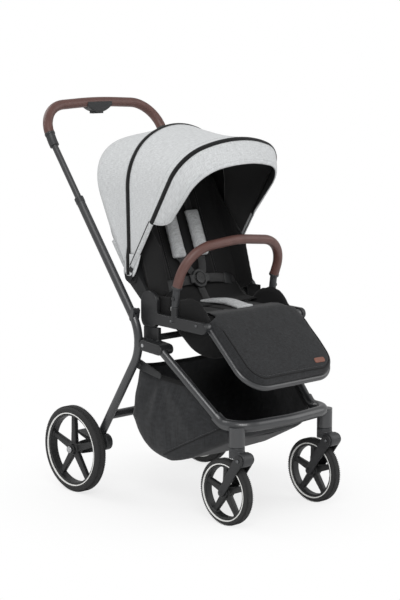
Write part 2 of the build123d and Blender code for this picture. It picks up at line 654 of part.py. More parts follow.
# Seat: a side moulding each side with its hub, rail, bumper socket and pivot pins, and a base between them
recline = (RECLINE_Y, RECLINE_Z)
hub_top = (seat_hub_y, SEAT_HUB_TOP - SEAT_HUB_W / 2)
rail_back = (seat_hub_y, SEAT_RAIL_Z)
seat_side = link(hub_top, rail_back, SEAT_HUB_W, SEAT_HUB_W, seat_rail_in, seat_rail_out)
below_hub = Box(3 * SEAT_RAIL_T, 2 * SEAT_HUB_W, SEAT_HUB_W, align=HANGING)
seat_side -= Pos(spigot_x, seat_hub_y, SEAT_HUB_LOW) * below_hub
seat_side += link(rail_back, footrest, SEAT_RAIL_H, SEAT_RAIL_H, seat_rail_in, seat_rail_out)
spigot = Box(SPIGOT_T, SPIGOT_W, SPIGOT_LEN, align=HANGING)
seat_side += Pos(spigot_x, seat_hub_y, SEAT_HUB_LOW) * spigot
disc_in = seat_rail_in - FOOTREST_DISC_T
seat_side += pin(footrest, FOOTREST_PIN_D, disc_in, seat_rail_in)
seat_side += pin(recline, RECLINE_PIN_D, seat_rail_in - BACK_BAR_T, seat_rail_in)
bumper_socket_top = SEAT_RAIL_Z + SEAT_RAIL_H / 2 + BUMPER_SOCKET_H
bumper_axis = Pos(bumper_x, BUMPER_Y, 0)
bumper_socket = extrude(Circle(BUMPER_SOCKET_D / 2), bumper_socket_top - SEAT_RAIL_Z)
seat_side += bumper_axis * Pos(0, 0, SEAT_RAIL_Z) * bumper_socket
stem_low = bumper_socket_top - BUMPER_STEM_LEN
stem_hole = Circle(BUMPER_STEM_D / 2 + RUNNING_GAP)
seat_side -= bumper_axis * Pos(0, 0, stem_low - LUG_GAP) * extrude(stem_hole, BUMPER_STEM_LEN + 2 * LUG_GAP)
pair("seat_side", seat_side)

base_front = FOOTREST_Y + FOOTREST_DISC_D / 2 + SOFT_GAP
base_back = RECLINE_Y - BACK_CUSHION_T + FOOTREST_PIN_D
base_low = SEAT_RAIL_Z - SEAT_RAIL_H / 2
base_top = base_low + SEAT_BASE_T
base_mid = (base_front + base_back) / 2
base = Box(2 * seat_rail_in, base_back - base_front, SEAT_BASE_T, align=STANDING)
nodes["seat_base"] = Pos(0, base_mid, base_low) * base


def cushion_face(half_w, low, high, crown):
    """A cushion's section: flat below, drawn-in sides and a crowned top."""
    mid = (low + high) / 2
    tuck = half_w - SEAT_DRAW
    edges = [
        Line((-tuck, low), (tuck, low)),
        ThreePointArc((tuck, low), (half_w, mid), (tuck, high)),
        ThreePointArc((tuck, high), (0, high + crown), (-tuck, high)),
        ThreePointArc((-tuck, high), (-half_w, mid), (-tuck, low)),
    ]
    return make_face(edges)


def crowned(half_w, low, high, crown, y):
    """A cushion's section across the seat at one depth."""
    place = Plane(origin=(0, y, 0), x_dir=(1, 0, 0), z_dir=(0, -1, 0))
    return place * cushion_face(half_w, low, high, crown)


cushion_top = base_top + SEAT_CUSHION_T
cushion_front = FOOTREST_Y + SOFT_GAP
cushion_run = base_back - cushion_front
half_seat = seat_rail_in - SEAT_INSET
cushion_sections = []
for share, draw, thickness, crown in (
    (0.0, 0.0, 0.72, 0.6),
    (0.12, 0.0, 1.0, 0.9),
    (0.5, SEAT_DRAW, 1.0, 1.0),
    (0.88, 0.0, 1.0, 0.9),
    (1.0, 0.0, 0.8, 0.6),
):
    top = base_top + SEAT_CUSHION_T * thickness
    place = cushion_front + share * cushion_run
    cushion_sections.append(crowned(half_seat - draw, base_top, top, SEAT_CROWN * crown, place))
cushion = loft(cushion_sections, ruled=True)
for share in (1 / 3, 2 / 3):
    channel = (cushion_front + share * cushion_run, cushion_top + SEAT_CROWN + CHANNEL_D / 4)
    cushion -= pin(channel, CHANNEL_D, -half_seat, half_seat)
bolster_in = half_seat + SOFT_GAP
bolster_front = base_front + SOFT_GAP
bolster_sections = []
for share, height in ((0.0, 0.84), (0.5, 1.0), (1.0, 0.84)):
    top = ((bolster_front + BOLSTER_BACK_Y) / 2, base_top + BOLSTER_H * height)
    arc = ThreePointArc((bolster_front, base_top), top, (BOLSTER_BACK_Y, base_top))
    outline = make_face([arc, Line((BOLSTER_BACK_Y, base_top), (bolster_front, base_top))])
    section_x = bolster_in + share * BOLSTER_W
    bolster_sections.append(Plane(origin=(section_x, 0, 0), x_dir=(0, 1, 0), z_dir=(1, 0, 0)) * outline)
bolster = loft(bolster_sections, ruled=True)
nodes["seat_cushion"] = Compound([cushion.solid(), bolster.solid(), other_side(bolster).solid()])

# Backrest: a hard shell with a hinge bar each side, and a bucket-shaped cushion
lean = radians(BACK_ANGLE)
back_up = Vector(0, sin(lean), cos(lean))
back_out = Vector(0, -cos(lean), sin(lean))
recline_point = Vector(0, *recline)
canopy = (CANOPY_Y, CANOPY_Z)


def back_plane(out):
    """A plane along the backrest, drawn in (x, up the back), at a distance out of its pivot line."""
    return Plane(origin=recline_point + back_out * out, x_dir=(1, 0, 0), z_dir=back_out)


def back_level(up):
    """A plane across the backrest, drawn in (x, out of the back), at a distance up from its pivot line."""
    return Plane(origin=recline_point + back_up * up, x_dir=(1, 0, 0), z_dir=-back_up)


cushion_rear = BACK_FRONT - BACK_CUSHION_T
shell_rear = cushion_rear - BACK_SHELL_T
half_back = seat_rail_in - 2 * LUG_GAP
shell_low = BACK_SHELL_T * 2
shell_mid = (shell_low + BACK_LEN) / 2
shell_face = Pos(0, shell_mid) * Rectangle(2 * half_back, BACK_LEN - shell_low)
shell_face = fillet(shell_face.vertices().group_by(Axis.Y)[-1], BACK_TOP_R)
shell = extrude(back_plane(shell_rear) * shell_face, BACK_SHELL_T)
bar_out = half_back + LUG_GAP
bar_in = bar_out - BACK_BAR_T
mount_out = bar_out + CANOPY_MOUNT_T
hinge_bar = link(recline, canopy, BACK_BAR_D, CANOPY_MOUNT_D, bar_in, bar_out)
hinge_bar += pin(canopy, CANOPY_MOUNT_D, bar_in, mount_out)
hinge_bar -= pin(recline, RECLINE_PIN_D + 2 * RUNNING_GAP, bar_in, bar_out)
hinge_bar += pin(canopy, CANOPY_PIN_D, mount_out, mount_out + FRONT_ARCH_OUT)
rear_line = Pos(*canopy) * Rot(0, 0, REAR_ARCH_ANGLE)
post_foot = (Align.MIN, Align.MAX)
hinge_bar += plate(rear_line * Rectangle(POST_END, POST_W, align=post_foot), bar_in, bar_out)
clip = rear_line * Pos(POST_START, 0) * Rectangle(POST_END - POST_START, POST_W, align=post_foot)
hinge_bar += plate(clip, bar_in, mount_out + REAR_ARCH_OUT - CANOPY_T / 2)
nodes["back_shell"] = shell + hinge_bar + other_side(hinge_bar)

half_cushion = bar_in - SOFT_GAP
wing_in = half_cushion - WING_T
wing_mid = half_cushion - WING_T / 2 - SEAT_DRAW / 2


def bucket(up, wing, front):
    """The back cushion's section at one level: a padded middle between two side wings."""
    foot = front + (wing - front) * 0.12
    tip = wing - WING_T * 0.3
    right = [
        Line((0, cushion_rear), (half_cushion - SEAT_DRAW, cushion_rear)),
        ThreePointArc(
            (half_cushion - SEAT_DRAW, cushion_rear),
            (half_cushion, (cushion_rear + tip) / 2),
            (half_cushion - SEAT_DRAW, tip),
        ),
        ThreePointArc((half_cushion - SEAT_DRAW, tip), (wing_mid, wing), (wing_in, tip)),
        Line((wing_in, tip), (wing_in - SEAT_DRAW, foot)),
        ThreePointArc((wing_in - SEAT_DRAW, foot), (half_cushion / 2, front - CUSHION_DIP), (0, front)),
    ]
    left = [mirror(edge, about=Plane.YZ) for edge in right]
    return back_level(up) * make_face(right + left)


cushion_end = BACK_LEN - SOFT_GAP
wing_sections = [
    bucket(WING_FOOT, BACK_FRONT + WING_T, BACK_FRONT - CUSHION_DIP),
    bucket(WING_LOW, WING_DEPTH * 0.86, BACK_FRONT),
    bucket(WING_LOW + (WING_TOP - WING_LOW) * 0.45, WING_DEPTH, BACK_FRONT),
    bucket(WING_TOP, WING_DEPTH * 0.42, BACK_FRONT),
    bucket(cushion_end - BACK_CROWN * 3, BACK_FRONT + WING_T, BACK_FRONT),
    bucket(cushion_end, BACK_FRONT + WING_T * 0.6, BACK_FRONT - BACK_CROWN),
]
back_cushion = loft(wing_sections, ruled=True)
top_trim = extrude(back_plane(cushion_rear) * shell_face, WING_DEPTH * 2)
nodes["back_cushion"] = back_cushion & top_trim

# Harness: webbing on the back cushion, shoulder pads over it, and a round buckle on the crotch strap
strap_low = BACK_FRONT + STRAP_GAP
pad_low = strap_low + STRAP_T + STRAP_GAP
buckle_ring = BUCKLE_D / 2
strap_end = BUCKLE_UP + buckle_ring + STRAP_W / 2
straps = []
pads = []
for sign in SIDES.values():
    run = Rectangle(STRAP_W, SHOULDER_TOP - SHOULDER_LOW, align=(Align.CENTER, Align.MIN))
    run = Pos(sign * SHOULDER_X, SHOULDER_LOW) * run
    drop = Polyline(
        (sign * (SHOULDER_X - STRAP_W / 2), SHOULDER_LOW),
        (sign * (SHOULDER_X + STRAP_W / 2), SHOULDER_LOW),
        (sign * (SHOULDER_X / 2 + STRAP_W / 2), strap_end),
        (sign * (SHOULDER_X / 2 - STRAP_W / 2), strap_end),
        close=True,
    )
    straps.append(extrude(back_plane(strap_low) * (run + make_face(drop)), STRAP_T).solid())
    pad_face = Pos(sign * SHOULDER_X, SHOULDER_LOW + SHOULDER_PAD_LEN / 2) * RectangleRounded(
        SHOULDER_PAD_W, SHOULDER_PAD_LEN, SHOULDER_PAD_W / 6
    )
    pads.append(extrude(back_plane(pad_low) * pad_face, SHOULDER_PAD_T, taper=12).solid())
nodes["shoulder_straps"] = Compound(straps)
nodes["shoulder_pads"] = Compound(pads)

buckle_face = Pos(0, BUCKLE_UP) * Circle(buckle_ring)
for sign in SIDES.values():
    buckle_face += Pos(sign * buckle_ring, BUCKLE_UP) * Rectangle(BUCKLE_D / 3, STRAP_W)
buckle = extrude(back_plane(BUCKLE_OUT) * buckle_face, BUCKLE_T)
button_room = Pos(0, BUCKLE_UP) * Circle(BUCKLE_BUTTON_D / 2 + LUG_GAP)
button_floor = BUCKLE_OUT + BUCKLE_T - BUCKLE_BUTTON_T
buckle -= extrude(back_plane(button_floor) * button_room, BUCKLE_BUTTON_T)
nodes["harness_buckle"] = buckle
button_face = back_plane(button_floor + BUCKLE_TRAVEL) * Pos(0, BUCKLE_UP) * Circle(BUCKLE_BUTTON_D / 2)
nodes["buckle_button"] = extrude(button_face, BUCKLE_BUTTON_T, taper=8)

harness = []
lap_start = buckle_ring + BUCKLE_D / 6
lap_end = wing_in - 2 * SEAT_DRAW
for sign in SIDES.values():
    lap_face = Pos(sign * (lap_start + lap_end) / 2, BUCKLE_UP) * Rectangle(lap_end - lap_start, STRAP_W)
    harness.append(extrude(back_plane(BUCKLE_OUT + BUCKLE_T / 2) * lap_face, STRAP_T).solid())
buckle_low = recline_point + back_up * (BUCKLE_UP - buckle_ring) + back_out * (BUCKLE_OUT + BUCKLE_T / 2)
crotch_foot = (base_back - CROTCH_BACK, cushion_top + SEAT_CROWN + STRAP_T)
crotch = link(crotch_foot, (buckle_low.Y, buckle_low.Z), STRAP_T, STRAP_T, -STRAP_W / 2, STRAP_W / 2)
harness.append((crotch - buckle).solid())
nodes["harness_straps"] = Compound(harness)

pad_y = crotch_foot[0] - STRAP_W
pad_z = cushion_top + SEAT_CROWN + STRAP_GAP
crotch_section = RectangleRounded(CROTCH_PAD_W, CROTCH_PAD_T, CROTCH_PAD_T / 3)
crotch_plane = Plane(origin=(0, pad_y, pad_z + CROTCH_PAD_T / 2), x_dir=(1, 0, 0), z_dir=(0, -1, 0))
nodes["crotch_pad"] = extrude(crotch_plane * crotch_section, CROTCH_PAD_LEN)

# Recline lever: a squeeze lever in a frame on the back of the shell
lever_face = Pos(0, BACK_LEN - BACK_TOP_R) * RectangleRounded(LEVER_W, LEVER_H, LEVER_H / 3)
nodes["recline_lever"] = extrude(back_plane(shell_rear - LUG_GAP) * lever_face, -LEVER_T, taper=10)

# Canopy: arches in planes through its pivot line, with cloth between them


def arch_edges(half_w, height, top_r, corner_r, foot):
    """Half a bow's outline from a foot up to the crown: a side, a corner arc and a top arc."""
    centre_x = half_w - corner_r
    centre_up = height - top_r + sqrt((top_r - corner_r) ** 2 - centre_x**2)
    turn = atan2(centre_up - (height - top_r), centre_x)
    meet = (top_r * cos(turn), height - top_r + top_r * sin(turn))
    corner_mid = (centre_x + corner_r * cos(turn / 2), centre_up + corner_r * sin(turn / 2))
    top_turn = (turn + pi / 2) / 2
    top_mid = (top_r * cos(top_turn), height - top_r + top_r * sin(top_turn))
    return [
        Line((half_w, foot), (half_w, centre_up)),
        ThreePointArc((half_w, centre_up), corner_mid, meet),
        ThreePointArc(meet, top_mid, (0, height)),
    ]


def bow_plane(angle, shift):
    """The plane of a bow at an angle about the canopy's pivot line, moved forward by a shift."""
    normal = Vector(0, -sin(radians(angle)), cos(radians(angle)))
    return Plane(origin=Vector(0, *canopy) + normal * shift, x_dir=(1, 0, 0), z_dir=normal)


def arch(angle, shift, half_w, height, top_r, corner_r, foot, thick):
    """A bow's section: the band between an outer outline and the same outline drawn in."""
    outer = arch_edges(half_w, height, top_r, corner_r, foot)
    inner = arch_edges(half_w - thick, height - thick, top_r - thick, corner_r - thick, foot)
    half = outer + inner + [Line((half_w - thick, foot), (half_w, foot))]
    whole = half + [mirror(edge, about=Plane.YZ) for edge in half]
    return bow_plane(angle, shift) * make_face(whole)


def bow_sizes(half_w, height, top_out, corner_in):
    """A bow's half width, height, top radius and corner radius, both radii from its half width."""
    return (half_w, height, half_w + top_out, half_w - corner_in)


rear_bow = bow_sizes(mount_out + REAR_ARCH_OUT, REAR_ARCH_H, REAR_TOP_OUT, REAR_CORNER_IN)
crown_bow = bow_sizes(mount_out + CROWN_ARCH_OUT, CROWN_ARCH_H, CROWN_TOP_OUT, CROWN_CORNER_IN)
mid_bow = bow_sizes(mount_out + MID_ARCH_OUT, MID_ARCH_H, MID_TOP_OUT, MID_CORNER_IN)
front_bow = bow_sizes(mount_out + FRONT_ARCH_OUT, FRONT_ARCH_H, FRONT_TOP_OUT, FRONT_CORNER_IN)
visor_half = mount_out - VISOR_IN
visor_bow = (visor_half, VISOR_H, front_bow[2], visor_half - VISOR_CORNER_IN)
cloth_edge = BOW_W / 2 + LUG_GAP
rear_foot = CANOPY_HUB_D / 2 + SOFT_GAP
rear_panel = loft(
    [
        arch(REAR_ARCH_ANGLE, 0, *rear_bow, CANOPY_FOOT, CANOPY_T),
        arch(CROWN_ARCH_ANGLE, 0, *crown_bow, CANOPY_FOOT, CANOPY_T),
        arch(MID_ARCH_ANGLE, -cloth_edge, *mid_bow, CANOPY_FOOT, CANOPY_T),
    ],
    ruled=True,
)
seam = CANOPY_T / 2
curtain_w = rear_bow[0] - seam
curtain_half = arch_edges(*[size - seam for size in rear_bow], CURTAIN_FOOT)
curtain_edges = curtain_half + [mirror(edge, about=Plane.YZ) for edge in curtain_half]
curtain_edges.append(Line((-curtain_w, CURTAIN_FOOT), (curtain_w, CURTAIN_FOOT)))
curtain = extrude(bow_plane(REAR_ARCH_ANGLE, 0) * make_face(curtain_edges), CANOPY_T)
nodes["canopy_rear_panel"] = rear_panel + curtain

mid_panel = loft(
    [
        arch(MID_ARCH_ANGLE, cloth_edge, *mid_bow, CANOPY_FOOT, CANOPY_T),
        arch(FRONT_ARCH_ANGLE, -cloth_edge, *front_bow, CANOPY_FOOT, CANOPY_T),
    ],
    ruled=True,
)
nodes["canopy_mid_panel"] = mid_panel

disc_room = CANOPY_PIN_D + 2 * RUNNING_GAP
mid_disc_in = mount_out + CANOPY_LAYER_GAP
front_disc_in = mid_bow[0] + BOW_PROUD + CANOPY_LAYER_GAP
for name, angle, bow, disc_start in (
    ("canopy_mid_bow", MID_ARCH_ANGLE, mid_bow, mid_disc_in),
    ("canopy_front_bow", FRONT_ARCH_ANGLE, front_bow, front_disc_in),
):
    proud = [size + BOW_PROUD for size in bow]
    band = extrude(arch(angle, -BOW_W / 2, *proud, rear_foot, CANOPY_T + BOW_PROUD), BOW_W)
    arm_end = step_from(canopy, angle, CANOPY_HUB_D)
    arm = link(canopy, arm_end, CANOPY_HUB_D, BOW_W, disc_start, disc_start + CANOPY_T)
    arm -= pin(canopy, disc_room, disc_start, disc_start + CANOPY_T)
    nodes[name] = band + arm + other_side(arm)
visor = loft(
    [
        arch(FRONT_ARCH_ANGLE, BOW_W / 2, *front_bow, VISOR_FOOT, CANOPY_T),
        arch(VISOR_ANGLE, BOW_W / 2, *visor_bow, VISOR_FOOT + VISOR_RISE, CANOPY_T),
    ],
    ruled=True,
)
nodes["canopy_visor"] = visor

# Footrest: a U-shaped tube on two discs, with a padded panel between its arms
half_footrest = seat_rail_in - FOOTREST_INSET
footrest_end = step_from(footrest, FOOTREST_ANGLE, FOOTREST_LEN)
footrest_points = [
    (half_footrest, *footrest),
    (half_footrest, *footrest_end),
    (-half_footrest, *footrest_end),
    (-half_footrest, *footrest),
]
footrest_radii = [FOOTREST_CORNER_R, FOOTREST_CORNER_R]
footrest_tube = bar(footrest_points, FOOTREST_TUBE_D, footrest_radii)
disc_out = seat_rail_in - LUG_GAP
disc = pin(footrest, FOOTREST_DISC_D, disc_in, disc_out)
footrest_tube += disc + other_side(disc)
footrest_tube -= bar(footrest_points, FOOTREST_TUBE_D - 2 * FOOTREST_WALL, footrest_radii)
footrest_room = pin(footrest, FOOTREST_PIN_D + 2 * RUNNING_GAP, disc_in - SOFT_GAP, disc_out)
nodes["footrest_tube"] = footrest_tube - footrest_room - other_side(footrest_room)

half_pad = half_footrest - LEG_PAD_INSET
pad_run = Vector(0, cos(radians(FOOTREST_ANGLE)), sin(radians(FOOTREST_ANGLE)))
pad_low = FOOTREST_TUBE_D / 2 + SOFT_GAP
pad_end = FOOTREST_LEN - LEG_PAD_SHORT
pad_sections = []
pad_levels = [
    (LEG_PAD_START, half_pad, 0.6),
    (LEG_PAD_START + LEG_PAD_T, half_pad, 1.0),
    (FOOTREST_LEN / 2, half_pad - SEAT_DRAW, 1.0),
]
for turn, thickness in ((0, 1.0), (30, 0.95), (60, 0.8), (85, 0.5)):
    corner_in = LEG_PAD_CORNER * (1 - cos(radians(turn)))
    corner_run = LEG_PAD_CORNER * (1 - sin(radians(turn)))
    pad_levels.append((pad_end - corner_run, half_pad - corner_in, thickness))
for run, half_w, thickness in pad_levels:
    place = Plane(origin=Vector(0, *footrest) + pad_run * run, x_dir=(1, 0, 0), z_dir=pad_run)
    pad_top = pad_low + LEG_PAD_T * thickness
    pad_sections.append(place * cushion_face(half_w, pad_low, pad_top, LEG_PAD_CROWN * thickness))
nodes["leg_pad"] = loft(pad_sections, ruled=True)

# Bumper bar: a padded bow on two connectors that stand in the seat's sockets
connector_low = (BUMPER_Y, bumper_socket_top + LUG_GAP)
connector_top = step_from(connector_low, CONNECTOR_ANGLE, BUMPER_CONNECTOR_LEN)
bumper_corner = step_from(connector_top, BUMPER_ANGLE, BUMPER_RISE)
half_bow = [(bumper_x, *connector_top), (bumper_x, *bumper_corner)]
bumper_mid = (0, bumper_corner[0] - BUMPER_BOW / 3, bumper_corner[1] + BUMPER_BOW)
bumper_points = half_bow + [bumper_mid] + [(-x, y, z) for x, y, z in reversed(half_bow)]
bumper_radii = [BUMPER_CORNER_R, BUMPER_BOW_R, BUMPER_CORNER_R]
nodes["bumper_bar"] = tube(bumper_points, BUMPER_D, BUMPER_FOAM_T, bumper_radii)
connector_root = step_from(connector_low, CONNECTOR_ANGLE, -BUMPER_CONNECTOR_D / 2)
connector = bar([(bumper_x, *connector_root), (bumper_x, *connector_top)], BUMPER_CONNECTOR_D)
below_socket = Box(2 * BUMPER_CONNECTOR_D, 2 * BUMPER_CONNECTOR_D, BUMPER_CONNECTOR_D, align=HANGING)
connector -= bumper_axis * Pos(0, 0, connector_low[1]) * below_socket
connector -= bar(bumper_points, BUMPER_D, bumper_radii)
stem = extrude(Circle(BUMPER_STEM_D / 2), BUMPER_STEM_LEN + BUMPER_STEM_D / 2)
connector += bumper_axis * Pos(0, 0, stem_low) * stem
button_place = step_from(connector_low, CONNECTOR_ANGLE, BUTTON_UP)
button_seat = bumper_x + BUMPER_CONNECTOR_D / 2 - BUTTON_T
room_end = bumper_x + BUMPER_CONNECTOR_D
connector -= pin(button_place, BUTTON_D + 2 * LUG_GAP, button_seat - BUTTON_PROUD, room_end)
nodes["bumper_ends"] = Compound([connector.solid(), other_side(connector).solid()])
pair("bumper_button", pin(button_place, BUTTON_D, button_seat, button_seat + BUTTON_T + BUTTON_PROUD))

# Basket: a cloth tub hung inside the frame, open above, deep at the back and rising to the front bar


def tub(wall):
    """The basket's outer form drawn in by a wall thickness on every side but the top."""
    floor = BASKET_FLOOR_Z + wall
    back = BASKET_BACK_Y - wall
    nose = BASKET_NOSE_Y + wall
    rim = BASKET_RIM_Z
    nose_top = FRONT_BAR_Z - FRONT_BAR_D / 2
    rim_back = (back - BASKET_BELLY, rim + BASKET_RISE)
    waist = (back, floor + BASKET_HEEL_H)
    belly = (back - BASKET_BELLY / 3, (rim_back[1] + waist[1]) / 2)
    heel_mid = (back - BASKET_HEEL * 0.28, floor + BASKET_HEEL_H * 0.32)
    heel = (back - BASKET_HEEL, floor)
    toe = (nose + BASKET_SLOPE, floor)
    side = [
        ThreePointArc(rim_back, belly, waist),
        ThreePointArc(waist, heel_mid, heel),
        Polyline(
            heel,
            toe,
            (nose, nose_top - BASKET_NOSE_H),
            (nose, nose_top),
            (FRONT_JOINT_Y, nose_top),
            (BASKET_SHOULDER_Y, rim),
            (bracket_tip[0], rim),
            rim_back,
        ),
    ]
    body = plate(make_face(side), -half_frame, half_frame)
    rear_half_w = tube_inner - BASKET_INSET - wall
    front_half_w = half_front_track - BASKET_NOSE_IN - wall
    floor_half_w = rear_half_w - BASKET_FLOOR_IN
    plan = Polyline(
        (-rear_half_w, back),
        (rear_half_w, back),
        (rear_half_w - wall, bracket_tip[0]),
        (front_half_w, nose),
        (-front_half_w, nose),
        (-rear_half_w + wall, bracket_tip[0]),
        close=True,
    )
    body &= extrude(make_face(plan), rim_back[1])
    flare_z = (BASKET_RIM_Z + BASKET_FLOOR_Z) / 2
    front_view = Polyline(
        (-floor_half_w, floor),
        (floor_half_w, floor),
        (rear_half_w, flare_z),
        (rear_half_w, rim_back[1]),
        (-rear_half_w, rim_back[1]),
        (-rear_half_w, flare_z),
        close=True,
    )
    across_plane = Plane(origin=(0, back + wall, 0), x_dir=(1, 0, 0), z_dir=(0, -1, 0))
    return body & extrude(across_plane * make_face(front_view), WHEELBASE)


nodes["basket"] = tub(0) - tub(BASKET_T)

os.makedirs("parts", exist_ok=True)
for name, shape in nodes.items():
    export_step(shape, f"parts/{name}.step")
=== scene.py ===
"""Looks of a folding baby stroller: cloth, leatherette, tyres, webbing and fittings on its frame."""

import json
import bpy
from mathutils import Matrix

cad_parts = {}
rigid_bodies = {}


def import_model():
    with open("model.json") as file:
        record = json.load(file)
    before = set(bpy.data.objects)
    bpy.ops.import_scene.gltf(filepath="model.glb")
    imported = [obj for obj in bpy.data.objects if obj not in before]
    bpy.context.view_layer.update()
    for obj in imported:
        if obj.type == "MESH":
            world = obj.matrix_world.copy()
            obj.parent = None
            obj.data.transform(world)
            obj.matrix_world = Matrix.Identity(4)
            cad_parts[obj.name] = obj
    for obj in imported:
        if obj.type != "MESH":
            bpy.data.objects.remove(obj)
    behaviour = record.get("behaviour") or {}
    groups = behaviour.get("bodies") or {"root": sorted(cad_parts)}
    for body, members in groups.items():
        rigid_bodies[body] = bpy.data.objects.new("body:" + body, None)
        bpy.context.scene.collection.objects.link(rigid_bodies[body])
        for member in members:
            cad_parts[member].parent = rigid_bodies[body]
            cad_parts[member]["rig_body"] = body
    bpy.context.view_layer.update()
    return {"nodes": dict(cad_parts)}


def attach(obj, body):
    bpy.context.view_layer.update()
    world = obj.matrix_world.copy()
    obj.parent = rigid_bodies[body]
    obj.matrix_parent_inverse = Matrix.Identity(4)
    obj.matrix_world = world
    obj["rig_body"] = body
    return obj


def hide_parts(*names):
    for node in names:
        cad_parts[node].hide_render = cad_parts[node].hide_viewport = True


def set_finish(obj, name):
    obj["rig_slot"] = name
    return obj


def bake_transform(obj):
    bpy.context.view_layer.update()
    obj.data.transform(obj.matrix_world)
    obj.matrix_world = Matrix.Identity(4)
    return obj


bl_info = {
    "name": "Baby stroller looks",
    "version": (1, 0, 0),
    "blender": (4, 5, 0),
    "location": "View3D > Sidebar > Stroller",
    "description": "Dresses a folding baby stroller in cloth, leatherette, rubber and moulded plastic",
    "category": "Object",
}

from math import acos, atan2, ceil, cos, pi, radians, sin, sqrt, tan

import bmesh
import bpy
import numpy as np
from bpy.props import FloatProperty, FloatVectorProperty, IntProperty, PointerProperty
from bpy.types import Operator, Panel, PropertyGroup
from mathutils import Matrix, Vector, noise
from mathutils.bvhtree import BVHTree

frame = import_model()
nodes = frame["nodes"]
MM = 0.001
SIDES = (("left", 1), ("right", -1))


def linear(hex_colour):
    """An sRGB hex colour as linear red, green and blue."""
    parts = [int(hex_colour[i : i + 2], 16) / 255 for i in (0, 2, 4)]
    return tuple(c / 12.92 if c <= 0.04045 else ((c + 0.055) / 1.055) ** 2.4 for c in parts)


class StrollerColours(PropertyGroup):
    """Colours of the finishes."""

    canopy: FloatVectorProperty(
        name="Canopy cloth", description="Light heather yarn", subtype="COLOR", default=linear("c9cbcc")
    )
    seat: FloatVectorProperty(
        name="Seat cloth", description="Seat and lining", subtype="COLOR", default=linear("09090a")
    )
    cover: FloatVectorProperty(
        name="Leg cover cloth", description="Charcoal heather yarn", subtype="COLOR", default=linear("202123")
    )
    leather: FloatVectorProperty(
        name="Leatherette", description="Grip and bumper", subtype="COLOR", default=linear("63443e")
    )
    tube: FloatVectorProperty(
        name="Frame tube", description="Powder coat on the tubes", subtype="COLOR", default=linear("2f3032")
    )
    plastic: FloatVectorProperty(
        name="Plastic", description="Moulded parts", subtype="COLOR", default=linear("222324")
    )


class StrollerSizes(PropertyGroup):
    """Sizes of the sewing and the trim."""

    cloth: FloatProperty(
        name="Cloth thickness", description="Canopy cloth and lining", unit="LENGTH", default=2 * MM
    )
    stitch: FloatProperty(
        name="Stitch length", description="One sewn stitch", unit="LENGTH", default=4.2 * MM
    )
    pitch: FloatProperty(
        name="Stitch pitch", description="From one stitch to the next", unit="LENGTH", default=6.2 * MM
    )
    piping: FloatProperty(
        name="Piping", description="Diameter of sewn piping", unit="LENGTH", default=3.4 * MM
    )
    ring: FloatProperty(
        name="Tyre ring", description="Width of the white ring", unit="LENGTH", default=2.6 * MM
    )
    tread: IntProperty(name="Tread bars", description="Tread bars round a rear tyre", default=150)
    voxel: FloatProperty(
        name="Cushion mesh", description="Mesh size of a cushion", unit="LENGTH", default=5 * MM
    )


def add_node(tree, kind, inputs=None, **settings):
    """Add a node, with its settings, and its inputs as values or as sockets to link from."""
    node = tree.nodes.new(kind)
    for name, value in settings.items():
        setattr(node, name, value)
    for name, value in (inputs or {}).items():
        if isinstance(value, bpy.types.NodeSocket):
            tree.links.new(value, node.inputs[name])
        else:
            node.inputs[name].default_value = value
    return node


def start_material(name, **inputs):
    """A material with its shader, ready for its pattern nodes."""
    material = bpy.data.materials.new(name)
    material.use_nodes = True
    tree = material.node_tree
    tree.nodes.clear()
    values = {key.replace("_", " "): value for key, value in inputs.items()}
    shader = add_node(tree, "ShaderNodeBsdfPrincipled", values)
    add_node(tree, "ShaderNodeOutputMaterial", {"Surface": shader.outputs[0]})
    return material, tree, shader


def shade(colour, share):
    """A colour made darker or lighter by a share, with its alpha."""
    return (*(min(1.0, c * share) for c in colour), 1.0)


def powder_coat(name, colour, rough):
    """Powder coat baked on a tube: even, satin, with a very fine orange peel."""
    material, tree, shader = start_material(name, Roughness=rough, IOR=1.7)
    place = add_node(tree, "ShaderNodeTexCoord").outputs["Object"]
    # The coat's peel is about 0.4 mm; it is drawn at 1 mm so that it shows
    peel = add_node(tree, "ShaderNodeTexNoise", {"Vector": place, "Scale": 1000.0, "Detail": 2.0})
    cloud = add_node(tree, "ShaderNodeTexNoise", {"Vector": place, "Scale": 22.0, "Detail": 3.0})
    ramp = add_node(tree, "ShaderNodeValToRGB", {"Fac": cloud.outputs["Fac"]})
    ramp.color_ramp.elements[0].color = shade(colour, 0.86)
    ramp.color_ramp.elements[1].color = shade(colour, 1.12)
    tree.links.new(ramp.outputs["Color"], shader.inputs["Base Color"])
    bump = add_node(
        tree, "ShaderNodeBump", {"Height": peel.outputs["Fac"], "Strength": 0.08, "Distance": 0.0003}
    )
    tree.links.new(bump.outputs["Normal"], shader.inputs["Normal"])
    return material


